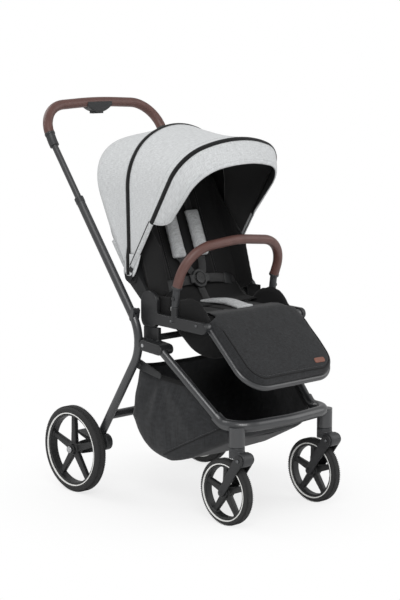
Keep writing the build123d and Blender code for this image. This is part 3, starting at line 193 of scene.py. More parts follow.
def moulded(name, colour, rough, grain=0.25):
    """Injection-moulded polypropylene or ABS: spark-eroded grain, dull, slightly worn lighter in patches."""
    material, tree, shader = start_material(name, IOR=1.49)
    place = add_node(tree, "ShaderNodeTexCoord").outputs["Object"]
    # Spark grain of 0.3 mm is drawn at 0.9 mm
    spark = add_node(tree, "ShaderNodeTexVoronoi", {"Vector": place, "Scale": 1100.0})
    cloud = add_node(tree, "ShaderNodeTexNoise", {"Vector": place, "Scale": 30.0, "Detail": 4.0})
    ramp = add_node(tree, "ShaderNodeValToRGB", {"Fac": cloud.outputs["Fac"]})
    ramp.color_ramp.elements[0].color = shade(colour, 0.85)
    ramp.color_ramp.elements[1].color = shade(colour, 1.2)
    tree.links.new(ramp.outputs["Color"], shader.inputs["Base Color"])
    gloss = add_node(
        tree,
        "ShaderNodeMapRange",
        {"Value": cloud.outputs["Fac"], "To Min": rough - 0.06, "To Max": rough + 0.08},
    )
    tree.links.new(gloss.outputs["Result"], shader.inputs["Roughness"])
    bump = add_node(
        tree, "ShaderNodeBump", {"Height": spark.outputs["Distance"], "Strength": grain, "Distance": 0.0003}
    )
    tree.links.new(bump.outputs["Normal"], shader.inputs["Normal"])
    return material


def tyre_rubber(name, colour):
    """Foamed rubber: matt, dusty, with fine mould lines round the tread."""
    material, tree, shader = start_material(name, Roughness=0.82, IOR=1.52)
    place = add_node(tree, "ShaderNodeTexCoord").outputs["Object"]
    dust = add_node(tree, "ShaderNodeTexNoise", {"Vector": place, "Scale": 60.0, "Detail": 5.0})
    ramp = add_node(tree, "ShaderNodeValToRGB", {"Fac": dust.outputs["Fac"]})
    ramp.color_ramp.elements[0].color = shade(colour, 0.8)
    ramp.color_ramp.elements[1].color = shade(colour, 1.45)
    tree.links.new(ramp.outputs["Color"], shader.inputs["Base Color"])
    grit = add_node(tree, "ShaderNodeTexNoise", {"Vector": place, "Scale": 900.0, "Detail": 3.0})
    bump = add_node(
        tree, "ShaderNodeBump", {"Height": grit.outputs["Fac"], "Strength": 0.35, "Distance": 0.0005}
    )
    tree.links.new(bump.outputs["Normal"], shader.inputs["Normal"])
    return material


def leatherette(name, colour):
    """Coated cloth with an embossed leather grain: soft gloss on the tops of its pebbles, and painted shade
    darker between them.
    """
    material, tree, shader = start_material(name, IOR=1.48)
    place = add_node(tree, "ShaderNodeTexCoord").outputs["Object"]
    # Pebbles of about 1.6 mm
    pebble = add_node(tree, "ShaderNodeTexVoronoi", {"Vector": place, "Scale": 620.0, "Randomness": 0.9})
    cloud = add_node(tree, "ShaderNodeTexNoise", {"Vector": place, "Scale": 45.0, "Detail": 4.0})
    ramp = add_node(tree, "ShaderNodeValToRGB", {"Fac": cloud.outputs["Fac"]})
    ramp.color_ramp.elements[0].color = shade(colour, 0.78)
    ramp.color_ramp.elements[1].color = shade(colour, 1.25)
    # The hollows between the pebbles are painted darker: painted shade in the grain
    painted_valley_shade = add_node(
        tree,
        "ShaderNodeMapRange",
        {"Value": pebble.outputs["Distance"], "From Max": 0.9, "To Min": 1.06, "To Max": 0.72},
    )
    mix = add_node(tree, "ShaderNodeMix", data_type="RGBA", blend_type="MULTIPLY")
    mix.inputs["Factor"].default_value = 1.0
    tree.links.new(ramp.outputs["Color"], mix.inputs["A"])
    tree.links.new(painted_valley_shade.outputs["Result"], mix.inputs["B"])
    tree.links.new(mix.outputs["Result"], shader.inputs["Base Color"])
    gloss = add_node(
        tree, "ShaderNodeMapRange", {"Value": pebble.outputs["Distance"], "To Min": 0.32, "To Max": 0.55}
    )
    tree.links.new(gloss.outputs["Result"], shader.inputs["Roughness"])
    bump = add_node(
        tree,
        "ShaderNodeBump",
        {"Height": pebble.outputs["Distance"], "Strength": 0.35, "Distance": 0.0004},
        invert=True,
    )
    tree.links.new(bump.outputs["Normal"], shader.inputs["Normal"])
    return material


def heather_cloth(name, colour, contrast, sheen, coords="UV", yarn=1.5 * MM):
    """Woven polyester of light and dark yarn: short streaks along both threads over a fine plain weave."""
    material, tree, shader = start_material(
        name, Roughness=0.9, IOR=1.45, Sheen_Weight=sheen, Sheen_Roughness=0.5
    )
    place = add_node(tree, "ShaderNodeTexCoord").outputs[coords]
    streaks = []
    # Slubs of about 1.8 by 17 mm, one set along each thread
    for scale in ((560.0, 60.0, 560.0), (60.0, 560.0, 60.0)):
        drawn = add_node(tree, "ShaderNodeMapping", {"Vector": place, "Scale": scale})
        slub = add_node(tree, "ShaderNodeTexNoise", {"Vector": drawn.outputs[0], "Scale": 1.0, "Detail": 2.5})
        streaks.append(slub.outputs["Fac"])
    both = add_node(tree, "ShaderNodeMath", {0: streaks[0], 1: streaks[1]}, operation="ADD")
    fleck = add_node(
        tree, "ShaderNodeMapRange", {"Value": both.outputs[0], "From Min": 0.72, "From Max": 1.28}
    )
    ramp = add_node(tree, "ShaderNodeValToRGB", {"Fac": fleck.outputs["Result"]})
    ramp.color_ramp.elements[0].color = shade(colour, 1 - contrast)
    ramp.color_ramp.elements[1].color = shade(colour, 1 + contrast * 0.8)
    tree.links.new(ramp.outputs["Color"], shader.inputs["Base Color"])
    # The real threads are 0.4 mm apart; the weave is drawn coarser so that it shows
    weave = []
    for direction in ("X", "Y"):
        wave = add_node(
            tree,
            "ShaderNodeTexWave",
            {"Vector": place, "Scale": 1 / yarn / 3.2, "Distortion": 0.6, "Detail": 1.0},
            bands_direction=direction,
        )
        weave.append(wave.outputs["Fac"])
    cross = add_node(tree, "ShaderNodeMath", {0: weave[0], 1: weave[1]}, operation="MAXIMUM")
    bump = add_node(
        tree, "ShaderNodeBump", {"Height": cross.outputs[0], "Strength": 0.22, "Distance": 0.0004}
    )
    tree.links.new(bump.outputs["Normal"], shader.inputs["Normal"])
    return material


def webbing(name, colour):
    """Nylon harness webbing: close ribs across the strap, with painted highlight on their crests and painted
    shade between them, and a slight shine.
    """
    material, tree, shader = start_material(name, Roughness=0.6, IOR=1.5, Sheen_Weight=0.2)
    place = add_node(tree, "ShaderNodeTexCoord").outputs["UV"]
    # Ribs 2.2 mm apart along the strap
    rib = add_node(
        tree, "ShaderNodeTexWave", {"Vector": place, "Scale": 145.0, "Distortion": 0.2}, bands_direction="Y"
    )
    # The ribs' colour follows their height: painted highlight on the crests and painted shade in the troughs
    ramp = add_node(tree, "ShaderNodeValToRGB", {"Fac": rib.outputs["Fac"]})
    ramp.color_ramp.elements[0].color = shade(colour, 0.7)
    ramp.color_ramp.elements[1].color = shade(colour, 1.5)
    tree.links.new(ramp.outputs["Color"], shader.inputs["Base Color"])
    bump = add_node(
        tree, "ShaderNodeBump", {"Height": rib.outputs["Fac"], "Strength": 0.5, "Distance": 0.0004}
    )
    tree.links.new(bump.outputs["Normal"], shader.inputs["Normal"])
    return material


def turned_steel(name, colour, rough):
    """Bright-turned steel: rings of tool marks that blur its reflections."""
    material, tree, shader = start_material(name, Metallic=1.0)
    place = add_node(tree, "ShaderNodeTexCoord").outputs["Object"]
    marks = add_node(tree, "ShaderNodeTexNoise", {"Vector": place, "Scale": 700.0, "Detail": 3.0})
    gloss = add_node(
        tree,
        "ShaderNodeMapRange",
        {"Value": marks.outputs["Fac"], "To Min": rough - 0.08, "To Max": rough + 0.1},
    )
    tree.links.new(gloss.outputs["Result"], shader.inputs["Roughness"])
    ramp = add_node(tree, "ShaderNodeValToRGB", {"Fac": marks.outputs["Fac"]})
    ramp.color_ramp.elements[0].color = shade(colour, 0.8)
    ramp.color_ramp.elements[1].color = shade(colour, 1.1)
    tree.links.new(ramp.outputs["Color"], shader.inputs["Base Color"])
    return material


def thread(name, colour):
    """Twisted polyester sewing thread."""
    material, tree, shader = start_material(name, Roughness=0.7, Sheen_Weight=0.3)
    place = add_node(tree, "ShaderNodeTexCoord").outputs["Object"]
    twist = add_node(tree, "ShaderNodeTexNoise", {"Vector": place, "Scale": 2200.0})
    ramp = add_node(tree, "ShaderNodeValToRGB", {"Fac": twist.outputs["Fac"]})
    ramp.color_ramp.elements[0].color = shade(colour, 0.7)
    ramp.color_ramp.elements[1].color = shade(colour, 1.2)
    tree.links.new(ramp.outputs["Color"], shader.inputs["Base Color"])
    return material


def toned(colour, share):
    """A colour made darker or lighter by a share."""
    return [c * share for c in colour]


def finish(name):
    """A finish by its name, made when it is first asked for."""
    found = bpy.data.materials.get(name)
    if found:
        return found
    colours = bpy.context.scene.stroller_colours
    makers = {
        "powder_coated_aluminium": lambda: powder_coat(name, colours.tube, 0.3),
        "powder_coated_push_tube": lambda: powder_coat(name, toned(colours.tube, 0.85), 0.42),
        "moulded_polypropylene": lambda: moulded(name, colours.plastic, 0.5),
        "moulded_frame_grey": lambda: moulded(name, colours.tube, 0.42),
        "moulded_hub_black": lambda: moulded(name, toned(colours.tube, 0.5), 0.42),
        "polished_abs": lambda: moulded(name, toned(colours.plastic, 0.7), 0.2, grain=0.03),
        "glass_filled_nylon": lambda: moulded(name, toned(colours.plastic, 0.55), 0.45),
        "foamed_rubber": lambda: tyre_rubber(name, linear("242424")),
        "white_rubber": lambda: moulded(name, linear("e9e9e6"), 0.6),
        "brown_leatherette": lambda: leatherette(name, colours.leather),
        "tag_leatherette": lambda: leatherette(name, linear("7d4a38")),
        "grey_heather_polyester": lambda: heather_cloth(name, colours.canopy, 0.2, 0.1),
        "grey_heather_padding": lambda: heather_cloth(name, toned(colours.canopy, 0.84), 0.3, 0.15, "Object"),
        "black_woven_polyester": lambda: heather_cloth(name, colours.seat, 0.25, 0.08, "Object"),
        "black_lining": lambda: heather_cloth(name, colours.seat, 0.25, 0.05, "UV"),
        "black_canopy_lining": lambda: heather_cloth(name, linear("161617"), 0.2, 0.35, "UV"),
        "charcoal_heather_padding": lambda: heather_cloth(name, colours.cover, 0.34, 0.2, "Object"),
        "charcoal_leg_cloth": lambda: heather_cloth(name, colours.cover, 0.75, 0.12, "UV"),
        "charcoal_basket_cloth": lambda: heather_cloth(name, toned(colours.cover, 1.2), 0.5, 0.15, "UV"),
        "harness_webbing": lambda: webbing(name, linear("121213")),
        "turned_steel": lambda: turned_steel(name, linear("b9babb"), 0.3),
        "zinc_screw": lambda: turned_steel(name, linear("6f7072"), 0.4),
        "grey_thread": lambda: thread(name, linear("9fa2a4")),
        "black_thread": lambda: thread(name, linear("2e2e30")),
        "brown_thread": lambda: thread(name, linear("3f2b27")),
    }
    return makers[name]()


def make_piece(name, points, faces, *finishes, uv=None, smooth=True):
    """A mesh piece from its points and faces, with its finishes and, for cloth, its flat layout in metres."""
    mesh = bpy.data.meshes.new(name)
    mesh.from_pydata([tuple(p) for p in points], [], faces)
    for entry in finishes:
        mesh.materials.append(finish(entry))
    if uv is not None:
        layer = mesh.uv_layers.new(name="flat")
        for loop in mesh.loops:
            layer.data[loop.index].uv = uv[loop.vertex_index]
    mesh.polygons.foreach_set("use_smooth", [smooth] * len(mesh.polygons))
    mesh.update()
    piece = bpy.data.objects.new(name, mesh)
    bpy.context.scene.collection.objects.link(piece)
    return piece


def grid_faces(rows, columns, closed=False):
    """Quads of a grid whose points run along its columns first; closed joins the last column to the first."""
    faces = []
    for row in range(rows - 1):
        for column in range(columns if closed else columns - 1):
            after = (column + 1) % columns
            a, b = row * columns + column, row * columns + after
            faces.append((a, b, b + columns, a + columns))
    return faces


def cloth_grid(name, grid, *finishes):
    """A sheet from rows of points, with its flat layout measured along its middle row and column."""
    rows, columns = len(grid), len(grid[0])
    points = [p for row in grid for p in row]
    across = [[0.0] for _ in range(rows)]
    for r in range(rows):
        for c in range(1, columns):
            across[r].append(across[r][-1] + (grid[r][c] - grid[r][c - 1]).length)
    along = [0.0]
    for r in range(1, rows):
        along.append(along[-1] + (grid[r][columns // 2] - grid[r - 1][columns // 2]).length)
    uv = [(across[r][c] - across[r][-1] / 2, along[r]) for r in range(rows) for c in range(columns)]
    return make_piece(name, points, grid_faces(rows, columns), *finishes, uv=uv)


def thicken(piece, thickness, inner=0):
    """Give a sheet its thickness inwards, with its own finish inside."""
    modifier = piece.modifiers.new("thickness", "SOLIDIFY")
    modifier.thickness = thickness
    modifier.offset = -1.0
    modifier.material_offset = inner
    apply_all(piece)


def apply_all(piece):
    """Turn a piece's modifiers into its mesh."""
    graph = bpy.context.evaluated_depsgraph_get()
    graph.update()
    live = piece.evaluated_get(graph)
    mesh = bpy.data.meshes.new_from_object(live, preserve_all_data_layers=True, depsgraph=graph)
    old = piece.data
    piece.modifiers.clear()
    piece.data = mesh
    mesh.name = piece.name
    if old.users == 0:
        bpy.data.meshes.remove(old)


def outward(piece, turn=True):
    """Join a piece's meeting points and point a closed piece's faces outwards."""
    shape = bmesh.new()
    shape.from_mesh(piece.data)
    bmesh.ops.remove_doubles(shape, verts=shape.verts, dist=0.00001)
    if turn:
        bmesh.ops.recalc_face_normals(shape, faces=shape.faces)
    shape.to_mesh(piece.data)
    shape.free()


def smooth_path(points, radii, step=6 * MM):
    """Points along straight runs joined by arcs, as a bent tube runs."""
    corners = [Vector(p) for p in points]
    path = [corners[0]]
    for before, corner, after, radius in zip(corners, corners[1:], corners[2:], radii):
        into, out = (corner - before).normalized(), (after - corner).normalized()
        turn = acos(max(-1.0, min(1.0, into.dot(out))))
        if turn < 0.001:
            path.append(corner)
            continue
        start = corner - into * radius * tan(turn / 2)
        inward = (out - into * into.dot(out)).normalized()
        centre = start + inward * radius
        count = max(2, ceil(turn * radius / step))
        for i in range(count + 1):
            angle = turn * i / count
            path.append(centre - inward * radius * cos(angle) + into * radius * sin(angle))
    path.append(corners[-1])
    even = []
    for a, b in zip(path, path[1:]):
        count = max(1, ceil((b - a).length / step))
        even += [a.lerp(b, i / count) for i in range(count)]
    return even + [path[-1]]


def rails(path, side):
    """Along a path: the place, the way along, and two ways across, the first kept near a given side."""
    found = []
    for i, place in enumerate(path):
        along = (path[min(i + 1, len(path) - 1)] - path[max(i - 1, 0)]).normalized()
        hint = Vector(side[i] if hasattr(side[0], "__len__") else side)
        first = (hint - along * hint.dot(along)).normalized()
        found.append((place, along, first, along.cross(first)))
    return found


def swept(name, path, section, side, *finishes, capped=True):
    """A piece of one section along a path; the section is drawn in (first, second) ways across."""
    frames = rails(path, side)
    points = [p + a * u + b * v for p, _, a, b in frames for u, v in section]
    faces = grid_faces(len(path), len(section), closed=True)
    if capped:
        count = len(section)
        faces.append(tuple(reversed(range(count))))
        faces.append(tuple(range((len(path) - 1) * count, len(path) * count)))
    length = [0.0]
    for a, b in zip(path, path[1:]):
        length.append(length[-1] + (b - a).length)
    girth = [0.0]
    for (u, v), (s, t) in zip(section, section[1:]):
        girth.append(girth[-1] + sqrt((s - u) ** 2 + (t - v) ** 2))
    uv = [(g, d) for d in length for g in girth]
    piece = make_piece(name, points, faces, *finishes, uv=uv)
    outward(piece)
    return piece


def ring_section(width, height, steps=10):
    """An oval section."""
    return [(width / 2 * cos(2 * pi * i / steps), height / 2 * sin(2 * pi * i / steps)) for i in range(steps)]


def strap_section(width, height):
    """A flat strap's section with rounded edges."""
    half, thick = width / 2, height / 2
    edge = half - thick
    upper = [(half, thick * 0.4), (edge, thick), (0, thick), (-edge, thick), (-half, thick * 0.4)]
    return upper + [(-u, -v) for u, v in upper]


def turned(name, centre, profile, finish_name, steps=96, direction=1):
    """A piece turned about the X axis through a centre; its profile is (x outwards, radius) pairs."""
    points = []
    for i in range(steps):
        angle = 2 * pi * i / steps
        for x, radius in profile:
            points.append(Vector(centre) + Vector((direction * x, radius * cos(angle), radius * sin(angle))))
    columns = len(profile)
    faces = []
    for i in range(steps):
        for j in range(columns - 1):
            a, b = i * columns + j, (i + 1) % steps * columns + j
            faces.append((a, b, b + 1, a + 1))
    piece = make_piece(name, points, faces, finish_name)
    outward(piece)
    return piece


def keep_with(piece, body, slot=None, stands_for=()):
    """Let a finished piece ride on its body and stand for the solids that it covers."""
    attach(piece, body)
    if slot:
        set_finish(piece, slot)
    if stands_for:
        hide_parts(*stands_for)
    return piece


def instance_tree():
    """The node tree that sets copies of a small part at each point of a mesh, turned by its attribute."""
    found = bpy.data.node_groups.get("set_along")
    if found:
        return found
    tree = bpy.data.node_groups.new("set_along", "GeometryNodeTree")
    face = tree.interface
    face.new_socket("Geometry", in_out="INPUT", socket_type="NodeSocketGeometry")
    face.new_socket("Part", in_out="INPUT", socket_type="NodeSocketObject")
    face.new_socket("Size", in_out="INPUT", socket_type="NodeSocketVector")
    face.new_socket("Finish", in_out="INPUT", socket_type="NodeSocketMaterial")
    face.new_socket("Geometry", in_out="OUTPUT", socket_type="NodeSocketGeometry")
    into = add_node(tree, "NodeGroupInput").outputs
    part = add_node(tree, "GeometryNodeObjectInfo", {"Object": into["Part"]})
    turn = add_node(tree, "GeometryNodeInputNamedAttribute", {"Name": "turn"}, data_type="QUATERNION")
    points = add_node(tree, "GeometryNodeMeshToPoints", {"Mesh": into["Geometry"]})
    copies = add_node(
        tree,
        "GeometryNodeInstanceOnPoints",
        {
            "Points": points.outputs[0],
            "Instance": part.outputs["Geometry"],
            "Rotation": turn.outputs["Attribute"],
            "Scale": into["Size"],
        },
    )
    real = add_node(tree, "GeometryNodeRealizeInstances", {"Geometry": copies.outputs[0]})
    done = add_node(
        tree, "GeometryNodeSetMaterial", {"Geometry": real.outputs[0], "Material": into["Finish"]}
    )
    add_node(tree, "NodeGroupOutput", {"Geometry": done.outputs[0]})
    return tree


def set_along(name, part, places, turns, size, finish_name):
    """Copies of a small part at places, each turned by a quaternion, as one plain mesh."""
    holder = make_piece(name, places, [])
    turn = holder.data.attributes.new("turn", "QUATERNION", "POINT")
    turn.data.foreach_set("value", [v for t in turns for v in t])
    tree = instance_tree()
    modifier = holder.modifiers.new("copies", "NODES")
    modifier.node_group = tree
    keys = {s.name: s.identifier for s in tree.interface.items_tree if s.in_out == "INPUT"}
    modifier[keys["Part"]] = part
    modifier[keys["Size"]] = size
    modifier[keys["Finish"]] = finish(finish_name)
    apply_all(holder)
    all_smooth(holder)
    if "turn" in holder.data.attributes:
        holder.data.attributes.remove(holder.data.attributes["turn"])
    return holder


def small_part(name, profile, steps=8):
    """A small turned part along its own Z axis, kept out of sight, for copies."""
    found = bpy.data.objects.get(name)
    if found:
        return found
    points, faces = [], []
    columns = len(profile)
    for i in range(steps):
        angle = 2 * pi * i / steps
        points += [(radius * cos(angle), radius * sin(angle), z) for radius, z in profile]
        for j in range(columns - 1):
            a, b = i * columns + j, (i + 1) % steps * columns + j
            faces.append((a, b, b + 1, a + 1))
    piece = make_piece(name, points, faces)
    outward(piece)
    piece.hide_render = True
    return piece


def sewn(name, path, normals, finish_name, thick=0.9 * MM):
    """Stitches along a path that lies on a surface with these normals."""
    sizes = bpy.context.scene.stroller_sizes
    outline = [(0.0, -0.5), (0.3, -0.46), (0.5, -0.3), (0.5, 0.3), (0.3, 0.46), (0.0, 0.5)]
    stitch = small_part("stitch_part", outline, 6)
    places, turns = [], []
    run, due = 0.0, sizes.pitch / 2
    for i in range(len(path) - 1):
        step = path[i + 1] - path[i]
        while step.length > 0 and run + step.length >= due:
            place = path[i] + step * ((due - run) / step.length)
            along, normal = step.normalized(), Vector(normals[i])
            across = normal.cross(along).normalized()
            matrix = Matrix((across, along.cross(across), along)).transposed()
            places.append(place + normal * thick * 0.1)
            turns.append(tuple(matrix.to_quaternion()))
            due += sizes.pitch
        run += step.length
    return set_along(name, stitch, places, turns, (thick, thick * 0.8, sizes.stitch), finish_name)


def solid_copy(node, name):
    """A merged copy of a solid's mesh as a new piece."""
    mesh = nodes[node].data.copy()
    mesh.name = name
    mesh.materials.clear()
    piece = bpy.data.objects.new(name, mesh)
    bpy.context.scene.collection.objects.link(piece)
    outward(piece)
    return piece


def all_smooth(piece):
    """Shade every face of a piece smooth."""
    piece.data.polygons.foreach_set("use_smooth", [True] * len(piece.data.polygons))


def move_points(piece, places):
    """Move a piece's points to places given as one flat list."""
    piece.data.vertices.foreach_set("co", places)
    piece.data.update()


def plumped(node, name, finish_name, voxel, inset, cap):
    """A pad swelled from its slightly drawn-in solid with a cloth simulation, no further than a cap."""
    piece = solid_copy(node, name)
    shape = piece.modifiers.new("even_mesh", "REMESH")
    shape.mode = "VOXEL"
    shape.voxel_size = voxel
    apply_all(piece)
    move_points(piece, [v.co[i] - v.normal[i] * inset for v in piece.data.vertices for i in range(3)])
    ease = piece.modifiers.new("ease", "SMOOTH")
    ease.factor, ease.iterations = 0.5, 6
    apply_all(piece)
    start = np.array([v.co for v in piece.data.vertices])
    cloth = piece.modifiers.new("swell", "CLOTH")
    cloth.settings.use_pressure = True
    cloth.settings.uniform_pressure_force = 4.0
    cloth.settings.effector_weights.gravity = 0.0
    cloth.settings.quality = 4
    cloth.settings.tension_stiffness = 12
    cloth.settings.bending_stiffness = 0.6
    cloth.point_cache.frame_start, cloth.point_cache.frame_end = 1, 20
    for moment in range(1, 21):
        bpy.context.scene.frame_set(moment)
    apply_all(piece)
    bpy.context.scene.frame_set(1)
    moved = np.array([v.co for v in piece.data.vertices]) - start
    far = np.linalg.norm(moved, axis=1)
    moved *= np.minimum(1.0, cap / np.maximum(far, 1e-9))[:, None]
    move_points(piece, (start + moved).astype(np.float32).ravel())
    rounder = piece.modifiers.new("rounder", "SUBSURF")
    rounder.levels = rounder.render_levels = 1
    apply_all(piece)
    piece.data.materials.clear()
    piece.data.materials.append(finish(finish_name))
    all_smooth(piece)
    return piece


def softened(node, finish_name, voxel=1.7 * MM, rounds=6):
    """A copy of a moulding with its edges and corners eased, which stands for the moulding."""
    piece = solid_copy(node, node + "_eased")
    shape = piece.modifiers.new("even_mesh", "REMESH")
    shape.mode = "VOXEL"
    shape.voxel_size = voxel
    ease = piece.modifiers.new("ease", "SMOOTH")
    ease.factor, ease.iterations = 0.5, rounds
    lighter = piece.modifiers.new("lighter", "DECIMATE")
    lighter.ratio = 0.4
    apply_all(piece)
    piece.data.materials.append(finish(finish_name))
    all_smooth(piece)
    slot = nodes[node].get("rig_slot") or "black_plastic"
    return keep_with(piece, nodes[node]["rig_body"], slot, (node,))


def grid_ways(grid):
    """The outward way at each point of a grid of points."""
    rows, columns = len(grid), len(grid[0])
    ways = []
    for r in range(rows):
        row = []
        for c in range(columns):
            across = grid[r][min(c + 1, columns - 1)] - grid[r][max(c - 1, 0)]
            along = grid[min(r + 1, rows - 1)][c] - grid[max(r - 1, 0)][c]
            row.append(across.cross(along).normalized())
        ways.append(row)
    return ways


def pushed(grid, depth):
    """A grid moved along its outward ways by a depth that changes over it."""
    ways = grid_ways(grid)
    last_r, last_c = len(grid) - 1, len(grid[0]) - 1
    moved = []
    for r, row in enumerate(grid):
        moved.append([p + ways[r][c] * depth(r / last_r, c / last_c, p) for c, p in enumerate(row)])
    return moved


def drawn_through(lines, rows):
    """Rows of points drawn smoothly through lines of points."""
    grid, spans = [], len(lines) - 1
    for r in range(rows):
        share = r / (rows - 1) * spans
        k = min(int(share), spans - 1)
        t = share - k
        row = []
        for c in range(len(lines[0])):
            b, d = lines[k][c], lines[k + 1][c]
            a = lines[k - 1][c] if k else 2 * b - d
            e = lines[k + 2][c] if k + 2 <= spans else 2 * d - b
            slope, bend, twist = d - a, 2 * a - 5 * b + 4 * d - e, 3 * b - a - 3 * d + e
            row.append(0.5 * (2 * b + slope * t + bend * t**2 + twist * t**3))
        grid.append(row)
    return grid


def drawn_line(points, count):
    """Points drawn smoothly through other points."""
    return [row[0] for row in drawn_through([[p] for p in points], count)]


def sheet_of(grid):
    """Measure a cloth piece's flat size and area on its grid, without keeping them."""
    wide = max(sum((b - a).length for a, b in zip(row, row[1:])) for row in grid)
    columns = list(zip(*grid))
    long = max(sum((b - a).length for a, b in zip(column, column[1:])) for column in columns)
    area = 0.0
    for upper, lower in zip(grid, grid[1:]):
        for a, b, c, d in zip(upper, upper[1:], lower[1:], lower):
            area += (c - a).cross(d - b).length / 2
    area = min(max(area, 0.3 * wide * long), wide * long)


def cloth_sheet(name, grid, held, thickness, *finishes):
    """A cloth piece of some thickness over a grid of points, with its sheet measured."""
    piece = cloth_grid(name, grid, *finishes)
    thicken(piece, thickness, inner=len(finishes) - 1)
    sheet_of(grid)
    return piece


def groove(piece, distance, depth, width):
    """Sew a channel into a pad: points near a line sink along their normals by a soft profile."""
    moved = []
    for vertex in piece.data.vertices:
        sunk = depth * np.exp(-((distance(vertex.co) / width) ** 2))
        moved += [vertex.co[i] - vertex.normal[i] * sunk for i in range(3)]
    move_points(piece, moved)


def surface(piece):
    """A tree of a piece's faces, to lay trim on it."""
    graph = bpy.context.evaluated_depsgraph_get()
    graph.update()
    return BVHTree.FromObject(piece, graph)


def laid(tree, points, direction, reach=0.12):
    """Points moved along a direction onto a surface, with the surface's normals there."""
    places, normals = [], []
    way = Vector(direction).normalized()
    for point in points:
        hit, normal, _, _ = tree.ray_cast(Vector(point) - way * reach, way, 2 * reach)
        if hit is None:
            hit, normal, _, _ = tree.find_nearest(Vector(point))
        places.append(hit)
        normals.append(normal if normal.dot(way) < 0 else -normal)
    return places, normals


# Places and routes that the solids also follow, in metres and degrees of the side view
def side_place(start, angle, distance):
    """A (y, z) place at a distance from another along an angle of the side view."""
    return (start[0] + distance * cos(radians(angle)), start[1] + distance * sin(radians(angle)))


CANOPY = (0.040, 0.628)
CANOPY_PIVOT = Vector((0, *CANOPY))
CANOPY_FOOT = 0.040
# Each bow: angle about the canopy's pivot, half width, height, radius over the top and at its corners
REAR_BOW = (54.0, 0.183, 0.268, 0.205, 0.130)
CROWN_BOW = (62.5, 0.188, 0.403, 0.400, 0.142)
MID_BOW = (88.6, 0.186, 0.407, 0.215, 0.160)
FRONT_BOW = (122.0, 0.191, 0.445, 0.340, 0.110)
VISOR_BOW = (130.6, 0.154, 0.413, 0.340, 0.088)
BOW_W = 0.013
VISOR_FOOT = 0.184
VISOR_RISE = 0.034
CURTAIN_FOOT = 0.092
RECLINE = Vector((0, -0.042, 0.545))
LEAN = radians(21.8)
BACK_UP = Vector((0, sin(LEAN), cos(LEAN)))
BACK_OUT = Vector((0, -cos(LEAN), sin(LEAN)))
FOOTREST = Vector((0, -0.252, 0.518))
PAD_SLOPE = radians(223.3)
PAD_ALONG = Vector((0, cos(PAD_SLOPE), sin(PAD_SLOPE)))
PAD_OUT = Vector((0, sin(PAD_SLOPE), -cos(PAD_SLOPE)))
HALF_FRAME = 0.212
PUSH_ANGLE = 53.2
LEG_TOP = (0.0006, 0.5310)
PUSH_TOP = side_place(LEG_TOP, PUSH_ANGLE, 0.374)
HANDLE_KINK = side_place(LEG_TOP, PUSH_ANGLE, 0.564)
HANDLE_ANGLE = 60.0
HANDLE_CORNER = side_place(HANDLE_KINK, HANDLE_ANGLE, 0.110)
HANDLE_MID = side_place(HANDLE_KINK, HANDLE_ANGLE, 0.122)
GRIP_START = side_place(HANDLE_KINK, HANDLE_ANGLE, 0.022)
GRIP_D = 0.028
BUMPER_X = 0.184
BUMPER_FOOT = side_place((-0.142, 0.5635), 98.0, 0.052)
BUMPER_CORNER = side_place(BUMPER_FOOT, 111.0, 0.110)
BUMPER_CROWN = (-0.1947, 0.7357)
BUMPER_D = 0.026
STRAP_X = 0.043
# Each wheel: across, along, tyre radius, rim radius and half width
REAR_WHEEL = (0.246, 0.212, 0.123, 0.102, 0.017)
FRONT_WHEEL = (0.168, -0.325, 0.090, 0.075, 0.015)
# The camera's place, what it is aimed at, and its focal length in millimetres
CAMERA = (-3.1833, -3.4400, 1.2821)
AIM = (-0.0112, -0.055, 0.5537)
FOCAL = 101.64


def within(share):
    """A share kept between 0 and 1."""
    return max(0.0, min(1.0, share))


def on_back(x, up, out):
    """A place on the backrest: across, up from its hinge, and out of it."""
    return RECLINE + BACK_UP * up + BACK_OUT * out + Vector((x, 0, 0))


def on_pad(x, run, out):
    """A place on the leg pad: across, down from its hinge, and out of it."""
    return FOOTREST + PAD_ALONG * run + PAD_OUT * out + Vector((x, 0, 0))


def over(half_run, middle):
    """A route from the left side over the middle to the right side."""
    left = [Vector(p) for p in half_run]
    return left + [Vector(middle)] + [Vector((-p.x, p.y, p.z)) for p in reversed(left)]


def bow_line(bow, foot, count):
    """Points (x, up) along a bow from its left foot over its crown to its right foot, evenly spaced."""
    _, half, height, top_r, corner_r = bow
    centre_x = half - corner_r
    centre_up = height - top_r + sqrt((top_r - corner_r) ** 2 - centre_x**2)
    turn = atan2(centre_up - (height - top_r), centre_x)
    runs = [centre_up - foot, corner_r * turn, top_r * (pi / 2 - turn)]
    half_length = sum(runs)
    line = []
    for i in range(count):
        place = 2 * half_length * i / (count - 1)
        sign = 1 if place < half_length else -1
        place = min(place, 2 * half_length - place)
        if place < runs[0]:
            x, up = half, foot + place
        elif place < runs[0] + runs[1]:
            angle = (place - runs[0]) / corner_r
            x, up = centre_x + corner_r * cos(angle), centre_up + corner_r * sin(angle)
        else:
            angle = turn + (place - runs[0] - runs[1]) / top_r
            x, up = top_r * cos(angle), height - top_r + top_r * sin(angle)
        line.append((sign * x, up))
    return line


def bow_ways(bow):
    """The ways along a bow's plane and ahead of it."""
    angle = radians(bow[0])
    return Vector((0, cos(angle), sin(angle))), Vector((0, -sin(angle), cos(angle)))


def bow_points(bow, foot, count, shift=0.0):
    """A bow's points in place, moved forward from its plane by a shift."""
    along, ahead = bow_ways(bow)
    base = CANOPY_PIVOT + ahead * shift
    return [base + along * up + Vector((x, 0, 0)) for x, up in bow_line(bow, foot, count)]


